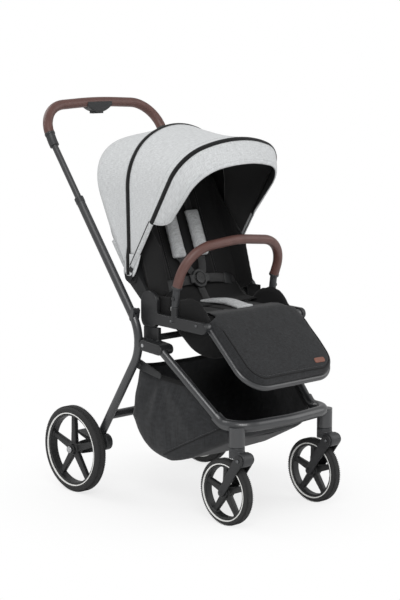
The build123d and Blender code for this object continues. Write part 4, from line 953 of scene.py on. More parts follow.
def rounded_loop(corner, stretch=1.0, steps=8, straight=12):
    """A closed loop round a square of half side 1; its corner's radius is stretched one way."""
    loop = []
    tall = min(1.0, corner * stretch)
    corners = ((1 - corner, 1 - tall, 0), (-1 + corner, 1 - tall, 90), (-1 + corner, -1 + tall, 180))
    corners += ((1 - corner, -1 + tall, 270),)
    for k, (x, y, start) in enumerate(corners):
        for i in range(steps + 1):
            angle = radians(start + 90 * i / steps)
            loop.append((x + corner * cos(angle), y + tall * sin(angle)))
        after = corners[(k + 1) % 4]
        angle = radians(after[2])
        end = (after[0] + corner * cos(angle), after[1] + tall * sin(angle))
        begin = loop[-1]
        for i in range(1, straight):
            share = i / straight
            loop.append((begin[0] + (end[0] - begin[0]) * share, begin[1] + (end[1] - begin[1]) * share))
    return loop


class STROLLER_OT_stage(Operator):
    """Floor, soft studio light and the camera"""

    bl_idname = "stroller.stage"
    bl_label = "Stage"

    def execute(self, context):
        scene = context.scene
        scene.view_settings.view_transform = "Standard"
        half = 30
        corners = [(-half, -half, 0), (half, -half, 0), (half, half, 0), (-half, half, 0)]
        floor = make_piece("floor", corners, [(0, 1, 2, 3)])
        material = bpy.data.materials.new("pale_floor")
        material.use_nodes = True
        tree = material.node_tree
        tree.nodes.clear()
        # Matt near the stroller, where it takes soft shadows, and fading to plain white in sight further off
        matt = add_node(tree, "ShaderNodeBsdfDiffuse", {"Color": (0.9, 0.9, 0.9, 1.0)})
        place = add_node(tree, "ShaderNodeTexCoord").outputs["Object"]
        away = add_node(tree, "ShaderNodeVectorMath", {0: place}, operation="LENGTH")
        far = add_node(
            tree,
            "ShaderNodeMapRange",
            {"Value": away.outputs["Value"], "From Min": 0.1, "From Max": 0.75, "To Min": 0.68},
            interpolation_type="SMOOTHSTEP",
        )
        sight = add_node(tree, "ShaderNodeLightPath").outputs["Is Camera Ray"]
        seen = add_node(tree, "ShaderNodeMath", {0: far.outputs["Result"], 1: sight}, operation="MULTIPLY")
        white = add_node(tree, "ShaderNodeEmission", {"Color": (1.0, 1.0, 1.0, 1.0), "Strength": 1.0})
        both = add_node(
            tree, "ShaderNodeMixShader", {0: seen.outputs[0], 1: matt.outputs[0], 2: white.outputs[0]}
        )
        add_node(tree, "ShaderNodeOutputMaterial", {"Surface": both.outputs[0]})
        floor.data.materials.append(material)

        world = bpy.data.worlds.new("studio")
        world.use_nodes = True
        scene.world = world
        tree = world.node_tree
        tree.nodes.clear()
        path = add_node(tree, "ShaderNodeLightPath")
        soft = add_node(tree, "ShaderNodeBackground", {"Color": (1.0, 1.0, 1.0, 1.0), "Strength": 0.55})
        white = add_node(tree, "ShaderNodeBackground", {"Color": (1.0, 1.0, 1.0, 1.0), "Strength": 1.0})
        mix = add_node(
            tree,
            "ShaderNodeMixShader",
            {0: path.outputs["Is Camera Ray"], 1: soft.outputs[0], 2: white.outputs[0]},
        )
        add_node(tree, "ShaderNodeOutputWorld", {"Surface": mix.outputs[0]})

        for name, place, power, size in (
            ("key", (-2.4, -2.6, 3.4), 92.0, 2.4),
            ("fill", (2.8, -2.2, 2.0), 30.0, 2.6),
            ("back", (-0.6, 2.8, 2.8), 45.0, 2.4),
        ):
            light = bpy.data.lights.new(name, "AREA")
            light.energy, light.size = power, size
            lamp = bpy.data.objects.new(name, light)
            scene.collection.objects.link(lamp)
            lamp.location = place
            lamp.rotation_mode = "QUATERNION"
            lamp.rotation_quaternion = (Vector((0, 0, 0.5)) - lamp.location).to_track_quat("-Z", "Y")

        lens = bpy.data.cameras.new("camera")
        lens.lens, lens.sensor_width, lens.sensor_fit = FOCAL, 36.0, "AUTO"
        lens.clip_start, lens.clip_end = 0.1, 100.0
        camera = bpy.data.objects.new("camera", lens)
        scene.collection.objects.link(camera)
        camera.location = CAMERA
        camera.rotation_mode = "QUATERNION"
        camera.rotation_quaternion = (Vector(AIM) - camera.location).to_track_quat("-Z", "Y")
        scene.camera = camera
        return {"FINISHED"}


class STROLLER_OT_rigid_finishes(Operator):
    """Finishes of the tubes and mouldings, and the eased edges of the mouldings"""

    bl_idname = "stroller.rigid_finishes"
    bl_label = "Rigid finishes"

    def execute(self, context):
        groups = {
            "powder_coated_aluminium": "front_leg front_bar cross_tube rear_leg rear_cross_bar footrest_tube",
            "powder_coated_push_tube": "push_tube handle_tube",
            "moulded_frame_grey": "caster_block handle_collars bumper_ends",
            "moulded_hub_black": "fold_hub seat_side caster_fork",
            "moulded_polypropylene": "basket_brackets rear_axle_housing brake_pedal release_housing "
            "release_button seat_base back_shell recline_lever bumper_button canopy_mid_bow canopy_front_bow",
            "glass_filled_nylon": "front_rim rear_rim harness_buckle",
            "polished_abs": "buckle_button",
            "foamed_rubber": "front_tyre rear_tyre",
            "brown_leatherette": "handle_grip bumper_bar",
            "turned_steel": "rear_axles fold_hub_pins",
        }
        eased = "fold_hub caster_fork caster_block seat_side basket_brackets rear_axle_housing brake_pedal"
        eased = (eased + " release_housing harness_buckle front_rim rear_rim").split()
        for finish_name, names in groups.items():
            for stem in names.split():
                for node, piece in nodes.items():
                    if node not in (stem, stem + "_left", stem + "_right"):
                        continue
                    piece.data.materials.clear()
                    piece.data.materials.append(finish(finish_name))
                    if stem in eased:
                        softened(node, finish_name)
        return {"FINISHED"}


class STROLLER_OT_wheels(Operator):
    """White rings, hub caps and tread of the four wheels"""

    bl_idname = "stroller.wheels"
    bl_label = "Wheels"

    def execute(self, context):
        sizes = context.scene.stroller_sizes
        for side, sign in SIDES:
            for axle, wheel in (("rear", REAR_WHEEL), ("front", FRONT_WHEEL)):
                x, y, tyre_r, seat_r, half_w = wheel
                centre = (sign * x, y, tyre_r)
                body = f"{axle}_wheel_{side}"
                for face in (1, -1):
                    inner, outer = seat_r - 0.4 * MM, seat_r + sizes.ring
                    profile = [
                        (half_w - 3.2 * MM, inner),
                        (half_w + 0.1 * MM, inner + 0.3 * MM),
                        (half_w + 0.5 * MM, (inner + outer) / 2),
                        (half_w + 0.1 * MM, outer),
                        (half_w - 3.2 * MM, outer + 0.2 * MM),
                    ]
                    where = "out" if face == 1 else "in"
                    name = f"{axle}_ring_{where}_{side}"
                    keep_with(turned(name, centre, profile, "white_rubber", 128, sign * face), body, "tyre")
                count = int(sizes.tread * tyre_r / REAR_WHEEL[2])
                bar = small_part("tread_part", [(0.0, -0.5), (0.5, -0.5), (0.42, 0.5), (0.0, 0.5)], 4)
                places, turns = [], []
                for row, lean in ((-1, 0.5), (1, -0.5)):
                    for i in range(count):
                        angle = 2 * pi * (i + 0.25 * row) / count
                        spoke = Vector((0, cos(angle), sin(angle)))
                        shift = Vector((row * half_w * 0.46, 0, 0))
                        places.append(Vector(centre) + spoke * (tyre_r - 1.5 * MM) + shift)
                        round_way = Vector((0, -sin(angle), cos(angle)))
                        across = (Vector((1, 0, 0)) + round_way * lean).normalized()
                        matrix = Matrix((across, spoke.cross(across), spoke)).transposed()
                        turns.append(tuple(matrix.to_quaternion()))
                size = (9 * MM, 3.2 * MM, 3 * MM)
                tread = set_along(f"{axle}_tread_{side}", bar, places, turns, size, "foamed_rubber")
                keep_with(tread, body, "tyre")
            x, y, tyre_r, _, half_w = REAR_WHEEL
            cap_x = sign * (x + half_w + 2.5 * MM)
            rim = [(0, 9.6), (3.4, 9.4), (4.4, 8.2), (4.5, 6.6), (3.9, 6.2), (4.1, 2.5), (4.2, 0)]
            profile = [(out * MM, radius * MM) for out, radius in rim]
            cap = turned(f"rear_hub_cap_{side}", (cap_x, y, tyre_r), profile, "turned_steel", 40, sign)
            keep_with(cap, "rear_legs", "steel")
        return {"FINISHED"}


class STROLLER_OT_canopy(Operator):
    """Canopy cloth with its lining, the black sleeves over its bows, its visor and its back curtain"""

    bl_idname = "stroller.canopy"
    bl_label = "Canopy"

    def execute(self, context):
        sizes = context.scene.stroller_sizes
        columns = 97
        clear = BOW_W / 2 - 1.5 * MM
        lined = ("grey_heather_polyester", "black_lining")

        def dipping(sag, start=0.0):
            """Cloth that dips between its bows, with soft uneven waves."""

            def depth(along, across, place):
                share = max(0.0, (along - start) / (1 - start))
                between = sin(pi * share)
                return -between * (sag * sin(pi * across) ** 0.6 + 1.5 * MM * noise.noise(place * 9))

            return depth

        lines = [
            bow_points(REAR_BOW, CANOPY_FOOT, columns),
            bow_points(CROWN_BOW, CANOPY_FOOT, columns),
            bow_points(MID_BOW, CANOPY_FOOT, columns, -clear),
        ]
        rear_grid = pushed(drawn_through(lines, 37), dipping(5 * MM, 0.5))
        lines = [
            bow_points(MID_BOW, CANOPY_FOOT, columns, clear),
            bow_points(FRONT_BOW, CANOPY_FOOT, columns, -clear),
        ]
        mid_grid = pushed(drawn_through(lines, 41), dipping(8 * MM))
        cloths = (
            ("canopy_rear", rear_grid, "backrest", "canopy_mid", CROWN_BOW, MID_BOW),
            ("canopy_mid", mid_grid, "canopy_mid", "canopy_front", MID_BOW, FRONT_BOW),
        )
        for stem, grid, rear_body, front_body, first, second in cloths:
            name = stem + "_cloth"
            piece = cloth_sheet(name, grid, "stretched", sizes.cloth, *lined)
            # Seams beside the bows, and one a hand's breadth behind the front bow
            ways = grid_ways(grid)
            rows = (1, len(grid) - 2) if stem == "canopy_rear" else (1, 34, len(grid) - 2)
            seams = [sewn(f"{name}_seam_{r}", grid[r], ways[r], "grey_thread") for r in rows]
            for part in (piece, *seams):
                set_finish(part, "grey_fabric")
                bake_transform(part)
            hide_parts(stem + "_panel")

        curtain_lines = []
        arch = bow_points(REAR_BOW, CURTAIN_FOOT, columns)
        along, ahead = bow_ways(REAR_BOW)
        for r in range(19):
            row = []
            for c, top in enumerate(arch):
                low = CANOPY_PIVOT + along * CURTAIN_FOOT
                low.x = REAR_BOW[1] * (1 - 2 * c / (columns - 1))
                row.append(low.lerp(top, r / 18))
            curtain_lines.append(row)
        curtain_grid = pushed(
            curtain_lines, lambda up, c, p: 9 * MM * sin(pi * up) * sin(pi * c) + 2 * MM * noise.noise(p * 14)
        )
        curtain = cloth_sheet("canopy_curtain", curtain_grid, "stretched", sizes.cloth, *lined)
        keep_with(curtain, "backrest", "grey_fabric")
        hem = sewn("curtain_seam", curtain_grid[1], grid_ways(curtain_grid)[1], "grey_thread")
        keep_with(hem, "backrest", "grey_fabric")

        # A pocket of the same cloth over each of the posts that hold the rear edge
        post_x, half_w, half_t = 0.1755, 8.4 * MM, 7.5 * MM
        section = [(half_w * u, half_t * v) for u, v in rounded_loop(0.5)]
        for side, sign in SIDES:
            foot = Vector((sign * post_x, *CANOPY)) - ahead * 5 * MM
            route = [foot + along * d * MM for d in (36, 37, 56, 76, 96, 116, 117)]
            pocket = swept(f"canopy_post_pocket_{side}", route, section, (1, 0, 0), "grey_heather_polyester")
            keep_with(pocket, "backrest", "grey_fabric")

        visor_lines = []
        for r in range(21):
            share = sin(pi / 2 * r / 20)
            foot = VISOR_FOOT + VISOR_RISE * (1 - sqrt(1 - share**2))
            back = bow_points(FRONT_BOW, foot, columns, clear)
            front = bow_points(VISOR_BOW, foot, columns)
            visor_lines.append([a.lerp(b, share) for a, b in zip(back, front)])
        visor_grid = pushed(visor_lines, lambda out, c, p: 4 * MM * sin(pi * out) + MM * noise.noise(p * 12))
        visor = cloth_sheet("canopy_visor_cloth", visor_grid, "stretched", sizes.cloth, *lined)
        keep_with(visor, "canopy_front", "grey_fabric", ("canopy_visor",))
        left = [row[0] for row in visor_grid]
        right = [row[-1] for row in reversed(visor_grid)]
        edge = left + visor_grid[-1][1:-1] + right
        middle = CANOPY_PIVOT
        outs = [p - middle for p in edge]
        hem = swept("visor_hem", edge, ring_section(3.4 * MM, 3.4 * MM), outs, "grey_heather_padding")
        keep_with(hem, "canopy_front", "grey_fabric")
        seam = sewn("visor_seam", visor_grid[13], grid_ways(visor_grid)[13], "grey_thread")
        keep_with(seam, "canopy_front", "grey_fabric")

        # A looser lining inside the middle cloth, with its seams
        lining_foot = 0.07
        lines = [bow_points(bow, lining_foot, columns) for bow in (MID_BOW, FRONT_BOW)]

        def hanging(between, _, place):
            """The lining's depth under the cloth, in long uneven folds."""
            folds = noise.noise(Vector((place.x * 26, place.y * 9, place.z * 12)))
            return -8 * MM - sin(pi * between) * (6 * MM + 5 * MM * folds)

        lining_grid = pushed(drawn_through(lines, 31), hanging)
        lining = cloth_sheet("canopy_lining", lining_grid, "hung", 1.2 * MM, "black_canopy_lining")
        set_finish(lining, "black_fabric")
        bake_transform(lining)

        # The cloth's feet, gathered over the clips on both sides
        foot_x, curl, tuck, slope = 0.1915, 2.2 * MM, 2 * MM, 0.30
        for side, sign in SIDES:
            spread = ((0.030, 0.062), (0.029, 0.040), (0.026, 0.018), (0.021, 0.004), (0.014, -0.004))
            rows = []
            for half_w, up in spread:
                lean = slope * up
                row = []
                for i in range(17):
                    share = 1 - i / 8
                    out = foot_x - curl * share**2 - (tuck if up < 0 else 0.0)
                    row.append(Vector((sign * out, CANOPY[0] - lean + sign * half_w * share, CANOPY[1] + up)))
                rows.append(row)
            foot_grid = drawn_through(rows, 17)
            foot = cloth_sheet(f"canopy_foot_{side}", foot_grid, "stretched", sizes.cloth, *lined)
            keep_with(foot, "canopy_mid", "grey_fabric")

        # Black sleeves over the bows; below the visor the front bow has a grey cover and a dark cord
        flare, flare_top, flare_h = 0.026, 0.085, 0.03
        for name, bow, foot, body in (
            ("mid_bow_sleeve", MID_BOW, 4 * MM, "canopy_mid"),
            ("front_bow_sleeve", FRONT_BOW, VISOR_FOOT - 6 * MM, "canopy_front"),
        ):
            path = bow_points(bow, foot, 161)
            # Each foot runs outside the cloth's foot
            along, ahead = bow_ways(bow)
            for place in path:
                up = (place - CANOPY_PIVOT).dot(along)
                place.x *= 1 + flare * within((flare_top - up) / flare_h)
            section = ring_section(BOW_W + 1 * MM, 6.4 * MM, 14)
            sleeve = swept(name, path, section, ahead, "black_lining")
            keep_with(sleeve, body, "black_fabric")
        along, ahead = bow_ways(FRONT_BOW)
        for side, sign in SIDES:
            base = Vector((sign * FRONT_BOW[1], *CANOPY))
            ups = [CANOPY_FOOT - 8 * MM + (VISOR_FOOT - CANOPY_FOOT + 4 * MM) * i / 30 for i in range(31)]
            path = [base + along * up for up in ups]
            section = ring_section(BOW_W + 3 * MM, 7 * MM, 14)
            cover = swept(f"front_bow_cover_{side}", path, section, ahead, "grey_heather_padding")
            keep_with(cover, "canopy_front", "grey_fabric")
            path = [p - ahead * 9 * MM + Vector((sign * 1.2 * MM, 0, 0)) for p in path]
            section = ring_section(2.6 * MM, 2.6 * MM)
            cord = swept(f"front_bow_cord_{side}", path, section, ahead, "black_lining")
            keep_with(cord, "canopy_front", "black_fabric")
        return {"FINISHED"}


class STROLLER_OT_seat(Operator):
    """Seat and back cushions, the crease between them, and their sewing"""

    bl_idname = "stroller.seat"
    bl_label = "Seat"

    def execute(self, context):
        sizes = context.scene.stroller_sizes
        seat = plumped("seat_cushion", "seat_pad", "black_woven_polyester", sizes.voxel, 2 * MM, 4 * MM)
        seat_seam_x, seat_low, seat_top = 0.048, 0.530, 0.548
        for x in (-seat_seam_x, seat_seam_x):
            groove(seat, lambda p: abs(p.x - x) if p.z > seat_low else 1.0, 4 * MM, 4 * MM)
        # The side bolsters stand fuller, the more so towards the front
        bolster_x, front_y, front_run = 0.135, -0.10, 0.12
        fuller = []
        for vertex in seat.data.vertices:
            x, y, z = vertex.co
            rise = max(0.0, z - seat_top) if abs(x) > bolster_x else 0.0
            ahead = within((front_y - y) / front_run)
            bolster = within((abs(x) - bolster_x - 3 * MM) / (8 * MM))
            fuller += [x, y - (0.4 * rise + 20 * MM * bolster) * ahead, z + 0.36 * rise]
        move_points(seat, fuller)
        keep_with(seat, "chassis", "black_fabric", ("seat_cushion",))

        back_seam_x, wing_seam_x = 0.085, 0.146
        back = plumped("back_cushion", "back_pad", "black_woven_polyester", sizes.voxel, 2 * MM, 4 * MM)

        def seam_away(place, x):
            """How far a place on the cushion's front is from the seam at x."""
            local = place - RECLINE
            up, out = local.dot(BACK_UP), local.dot(BACK_OUT)
            return abs(place.x - x) if out > -2 * MM and 0.02 < up else 1.0

        for x in (-wing_seam_x, -back_seam_x, back_seam_x, wing_seam_x):
            groove(back, lambda p: seam_away(p, x), 4 * MM, 3.5 * MM)
        keep_with(back, "backrest", "black_fabric", ("back_cushion",))
        tree = surface(back)
        for x in (-back_seam_x, back_seam_x):
            run = [on_back(x + 4 * MM, 0.03 + 0.0108 * i, 0.03) for i in range(31)]
            places, normals = laid(tree, run, -BACK_OUT, 0.06)
            name = "back_seam_left" if x > 0 else "back_seam_right"
            keep_with(sewn(name, places, normals, "black_thread"), "backrest", "black_fabric")

        # Cloth over the crease between the seat and the back
        profile = [
            Vector((0, -0.125, 0.5490)),
            Vector((0, -0.095, 0.5515)),
            Vector((0, -0.070, 0.5560)),
            on_back(0, 0.030, 0.018),
            on_back(0, 0.055, 0.0085),
            on_back(0, 0.075, 0.0070),
        ]
        lines = []
        for point in profile:
            lines.append([point + Vector((wing_seam_x * (1 - i / 20), 0, 0)) for i in range(41)])
        crease_grid = pushed(drawn_through(lines, 21), lambda a, c, p: 2 * MM * noise.noise(p * 20))
        crease = cloth_sheet("seat_crease_cloth", crease_grid, "stretched", 1.6 * MM, "black_lining")
        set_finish(crease, "black_fabric")
        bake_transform(crease)

        # Black cloth between the cushion and the side mouldings
        side_x, side_y, side_low, half_w, side_h = 0.1715, -0.085, 0.512, 0.025, 0.072
        for side, sign in SIDES:
            rows = []
            for r in range(13):
                up = side_low + side_h * r / 12
                along = [side_y + sign * half_w * (i / 6 - 1) for i in range(13)]
                rows.append([Vector((sign * side_x, y, up)) for y in along])
            side_grid = pushed(rows, lambda a, c, p: 1.5 * MM * noise.noise(p * 30))
            panel = cloth_sheet(f"seat_side_cloth_{side}", side_grid, "stretched", 1.6 * MM, "black_lining")
            keep_with(panel, "chassis", "black_fabric")

        # Black cloth that hangs under the seat's base
        half_w, back_y, run, top, sag = 0.150, -0.100, 0.135, 0.506, 0.095
        rows = []
        for r in range(25):
            share = r / 24
            row = []
            for i in range(41):
                x = -1 + i / 20
                drop = sag * (1 - abs(x) ** 4) ** 0.6 * sin(pi * (0.06 + 0.88 * share)) ** 0.6
                row.append(Vector((half_w * x, back_y - run * share, top - drop)))
            rows.append(row)
        sling_grid = pushed(rows, lambda a, c, p: 2 * MM * noise.noise(p * 22))
        sling = cloth_sheet("seat_sling", sling_grid, "hung", 1.6 * MM, "black_lining")
        keep_with(sling, "chassis", "black_fabric")
        return {"FINISHED"}


class STROLLER_OT_harness(Operator):
    """Shoulder, lap and crotch straps with their pads, sliders and slots"""

    bl_idname = "stroller.harness"
    bl_label = "Harness"

    def execute(self, context):
        belt = strap_section(25 * MM, 2 * MM)
        for side, sign in SIDES:
            stations = [
                (STRAP_X, 0.342, 0.001),
                (STRAP_X, 0.330, 0.0085),
                (STRAP_X, 0.300, 0.0085),
                (STRAP_X, 0.150, 0.0085),
                (0.037, 0.122, 0.013),
                (0.026, 0.096, 0.0195),
                (0.018, 0.080, 0.0225),
            ]
            path = drawn_line([on_back(sign * x, up, out) for x, up, out in stations], 61)
            strap = swept(f"shoulder_strap_{side}", path, belt, (1, 0, 0), "harness_webbing")
            stands_for = ("shoulder_straps",) if sign > 0 else ()
            keep_with(strap, "backrest", "webbing", stands_for)
            # A bound slot where the strap comes through the back
            oval = ring_section(36 * MM, 10 * MM, 24)
            mouth = [on_back(sign * STRAP_X + u, 0.337 + v, 0.0065) for u, v in oval]
            mouth.append(mouth[0])
            section = ring_section(4 * MM, 3 * MM)
            binding = swept(f"strap_slot_{side}", mouth, section, BACK_OUT, "black_lining", capped=False)
            keep_with(binding, "backrest", "black_fabric")

            stations = [
                (0.030, 0.062, 0.0215),
                (0.066, 0.060, 0.0205),
                (0.105, 0.054, 0.0165),
                (0.138, 0.046, 0.0125),
                (0.152, 0.040, 0.0115),
            ]
            path = drawn_line([on_back(sign * x, up, out) for x, up, out in stations], 41)
            strap = swept(f"lap_strap_{side}", path, belt, BACK_UP, "harness_webbing")
            stands_for = ("harness_straps",) if sign > 0 else ()
            keep_with(strap, "chassis", "webbing", stands_for)
            section = strap_section(33 * MM, 5.5 * MM)
            slider = swept(f"lap_slider_{side}", path[18:27], section, BACK_UP, "moulded_polypropylene")
            keep_with(slider, "chassis", "black_plastic")

        stations = [
            on_back(0, 0.044, 0.0215),
            on_back(0, 0.030, 0.0235),
            Vector((0, -0.070, 0.5585)),
            Vector((0, -0.084, 0.5535)),
            Vector((0, -0.110, 0.5525)),
        ]
        path = drawn_line(stations, 31)
        keep_with(swept("crotch_strap", path, belt, (1, 0, 0), "harness_webbing"), "chassis", "webbing")

        pads = plumped("shoulder_pads", "shoulder_cushions", "grey_heather_padding", 3 * MM, 1.2 * MM, 3 * MM)
        # Each pad is made fuller about its middle, and a little lower than its solid
        pad_up, solid_up, pad_back = 0.196, 0.211, 0.008
        fuller = []
        for vertex in pads.data.vertices:
            local = vertex.co - RECLINE
            up, out = local.dot(BACK_UP), local.dot(BACK_OUT)
            middle = STRAP_X if vertex.co.x > 0 else -STRAP_X
            across = middle + (vertex.co.x - middle) * 1.2
            up, out = pad_up + (up - solid_up) * 1.14, pad_back + (out - pad_back) * 1.35
            fuller += list(on_back(across, up, out))
        move_points(pads, fuller)
        keep_with(pads, "backrest", "grey_fabric", ("shoulder_pads",))
        tree = surface(pads)
        for side, sign in SIDES:
            loop = []
            for u, v in rounded_loop(0.3):
                loop.append(on_back(sign * STRAP_X + 0.0208 * u, pad_up + 0.0635 * v, 0.03))
            seam = sewn(f"shoulder_pad_seam_{side}", *laid(tree, loop, -BACK_OUT, 0.05), "grey_thread")
            keep_with(seam, "backrest", "grey_fabric")

        pad = plumped("crotch_pad", "crotch_cushion", "grey_heather_padding", 2.6 * MM, MM, 3 * MM)
        # The pad is made longer and wider than its solid, and arched
        solid_y, solid_run, solid_z = -0.095, 0.116, 0.5525
        pad_y, pad_run, pad_z = -0.072, 0.152, 0.5545
        bent = []
        for vertex in pad.data.vertices:
            share = (solid_y - vertex.co.y) / solid_run
            rise = 6 * MM * sin(pi * within(share)) ** 2 + 9 * MM * max(0.0, 0.35 - share) ** 2
            wide = 1.4 + 0.4 * abs(2 * share - 1) ** 8
            z = pad_z + (vertex.co.z - solid_z) * 1.1 + rise
            bent += [vertex.co.x * wide, pad_y - share * pad_run, z]
        move_points(pad, bent)
        keep_with(pad, "chassis", "grey_fabric", ("crotch_pad",))
        tree = surface(pad)
        loop = [Vector((0.021 * u, pad_y - pad_run / 2 + 0.070 * v, 0.58)) for u, v in rounded_loop(0.3)]
        places, normals = laid(tree, loop, (0, 0, -1), 0.03)
        keep_with(sewn("crotch_pad_seam", places, normals, "grey_thread"), "chassis", "grey_fabric")

        # A raised ring round the buckle's button
        ring_d, ring_up, ring_out = 0.037, 0.063, 0.0283
        ring = [on_back(u, ring_up + v, ring_out) for u, v in ring_section(ring_d, ring_d, 48)]
        ring.append(ring[0])
        section = ring_section(2.6 * MM, 2.2 * MM)
        rim = swept("buckle_ring", ring, section, BACK_OUT, "polished_abs", capped=False)
        keep_with(rim, "chassis", "black_plastic")
        return {"FINISHED"}


class STROLLER_OT_leg_pad(Operator):
    """Leg pad and the piped cover that carries its cloth up onto the seat, with its tag"""

    bl_idname = "stroller.leg_pad"
    bl_label = "Leg pad"

    def execute(self, context):
        sizes = context.scene.stroller_sizes
        pad = plumped("leg_pad", "leg_cushion", "charcoal_heather_padding", sizes.voxel, 2 * MM, 4 * MM)
        keep_with(pad, "footrest", "charcoal_fabric", ("leg_pad",))

        # One cover runs from the seat over its front edge, down the pad, and tucks in at the tube
        stations = [Vector(p) for p in ((0, -0.190, 0.5475), (0, -0.222, 0.5500), (0, -0.246, 0.5490))]
        stations.append(Vector((0, -0.266, 0.5395)))
        down_pad = [(36, 31.5), (62, 31.5), (100, 32.5), (140, 32)]
        down_pad += [(175, 30.5), (196, 25.5), (208, 16), (211, 5)]
        stations += [on_pad(0, run * MM, out * MM) for run, out in down_pad]
        middle = drawn_line(stations, 89)
        edge_keys = [(0, 0), (0.35, 0.3), (0.62, 1.0), (0.84, 2.6), (0.92, 4.5)]
        edge_keys += [(0.965, 8), (0.99, 13), (1.0, 19), (1.0, 25)]
        half = drawn_line([Vector((share, drop * MM, 0)) for share, drop in edge_keys], 33)
        section = [(p.x, p.y) for p in reversed(half)] + [(-p.x, p.y) for p in half[1:]]
        seat_half, pad_half, pad_t = 0.132, 0.166, 0.028
        edge_y, edge_run, corner_run, corner_r = -0.243, 0.024, 0.145, 0.066
        rows = []
        for place in middle:
            run = (place - FOOTREST).dot(PAD_ALONG)
            ease = within((edge_y - place.y) / edge_run)
            ease = ease * ease * (3 - 2 * ease)
            wide = seat_half + (pad_half - seat_half) * ease
            turn = within((run - corner_run) / corner_r)
            wide -= corner_r * (1 - sqrt(1 - turn**2))
            depth = (0.35 + 0.65 * ease) * within((place - FOOTREST).dot(PAD_OUT) / pad_t)
            down = (Vector((0, 0, -1)) * (1 - ease) - PAD_OUT * ease).normalized()
            rows.append([place + Vector((wide * x, 0, 0)) + down * drop * depth for x, drop in section])

        def rumpled(_, across, place):
            """Small waves in the cover, with none at its edges."""
            waves = 1.6 * MM * noise.noise(place * 13) + 0.7 * MM * noise.noise(place * 34)
            return waves * sin(pi * across)

        cover_grid = pushed(rows, rumpled)
        cover = cloth_sheet("leg_cover", cover_grid, "stretched", 1.4 * MM, "charcoal_leg_cloth")
        tree = surface(cover)

        def round_pad(half_w, low, corner):
            """A line down one side of the pad, round its foot and up the other, laid on the cover."""
            ends = ((half_w, 0.03), (half_w, low), (-half_w, low), (-half_w, 0.03))
            route = smooth_path([on_pad(x, run, 0.05) for x, run in ends], (corner, corner), 5 * MM)
            return laid(tree, route, -PAD_OUT, 0.06)

        places, normals = round_pad(0.153, 0.199, 0.052)
        section = ring_section(sizes.piping, sizes.piping)
        piping = swept("leg_cover_piping", places, section, normals, "black_lining")
        seam = sewn("leg_cover_seam", *round_pad(0.147, 0.193, 0.047), "black_thread")
        for piece in (cover, piping, seam):
            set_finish(piece, "charcoal_fabric")
            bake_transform(piece)

        # A plain tag sewn near the lower left corner
        tag_x, tag_run, tag_w, tag_h = 0.105, 0.176, 0.020, 0.0075
        outline = rounded_loop(0.25, tag_w / tag_h)
        over_tag = [on_pad(tag_x + tag_w * u, tag_run + tag_h * v, 0.05) for u, v in outline]
        spots, _ = laid(tree, over_tag, -PAD_OUT, 0.06)
        low, top = [], []
        for (u, v), spot in zip(outline, spots):
            level = (spot - FOOTREST).dot(PAD_OUT)
            low.append(on_pad(tag_x + tag_w * u, tag_run + tag_h * v, level - 2 * MM))
            top.append(on_pad(tag_x + 0.0195 * u, tag_run + 0.0070 * v, level + 1.4 * MM))
        count = len(low)
        faces = grid_faces(2, count, closed=True)
        faces += [tuple(range(count, 2 * count)), tuple(reversed(range(count)))]
        patch = make_piece("leg_pad_tag", low + top, faces, "tag_leatherette", smooth=False)
        outward(patch)
        keep_with(patch, "footrest", "brown_leather")
        return {"FINISHED"}


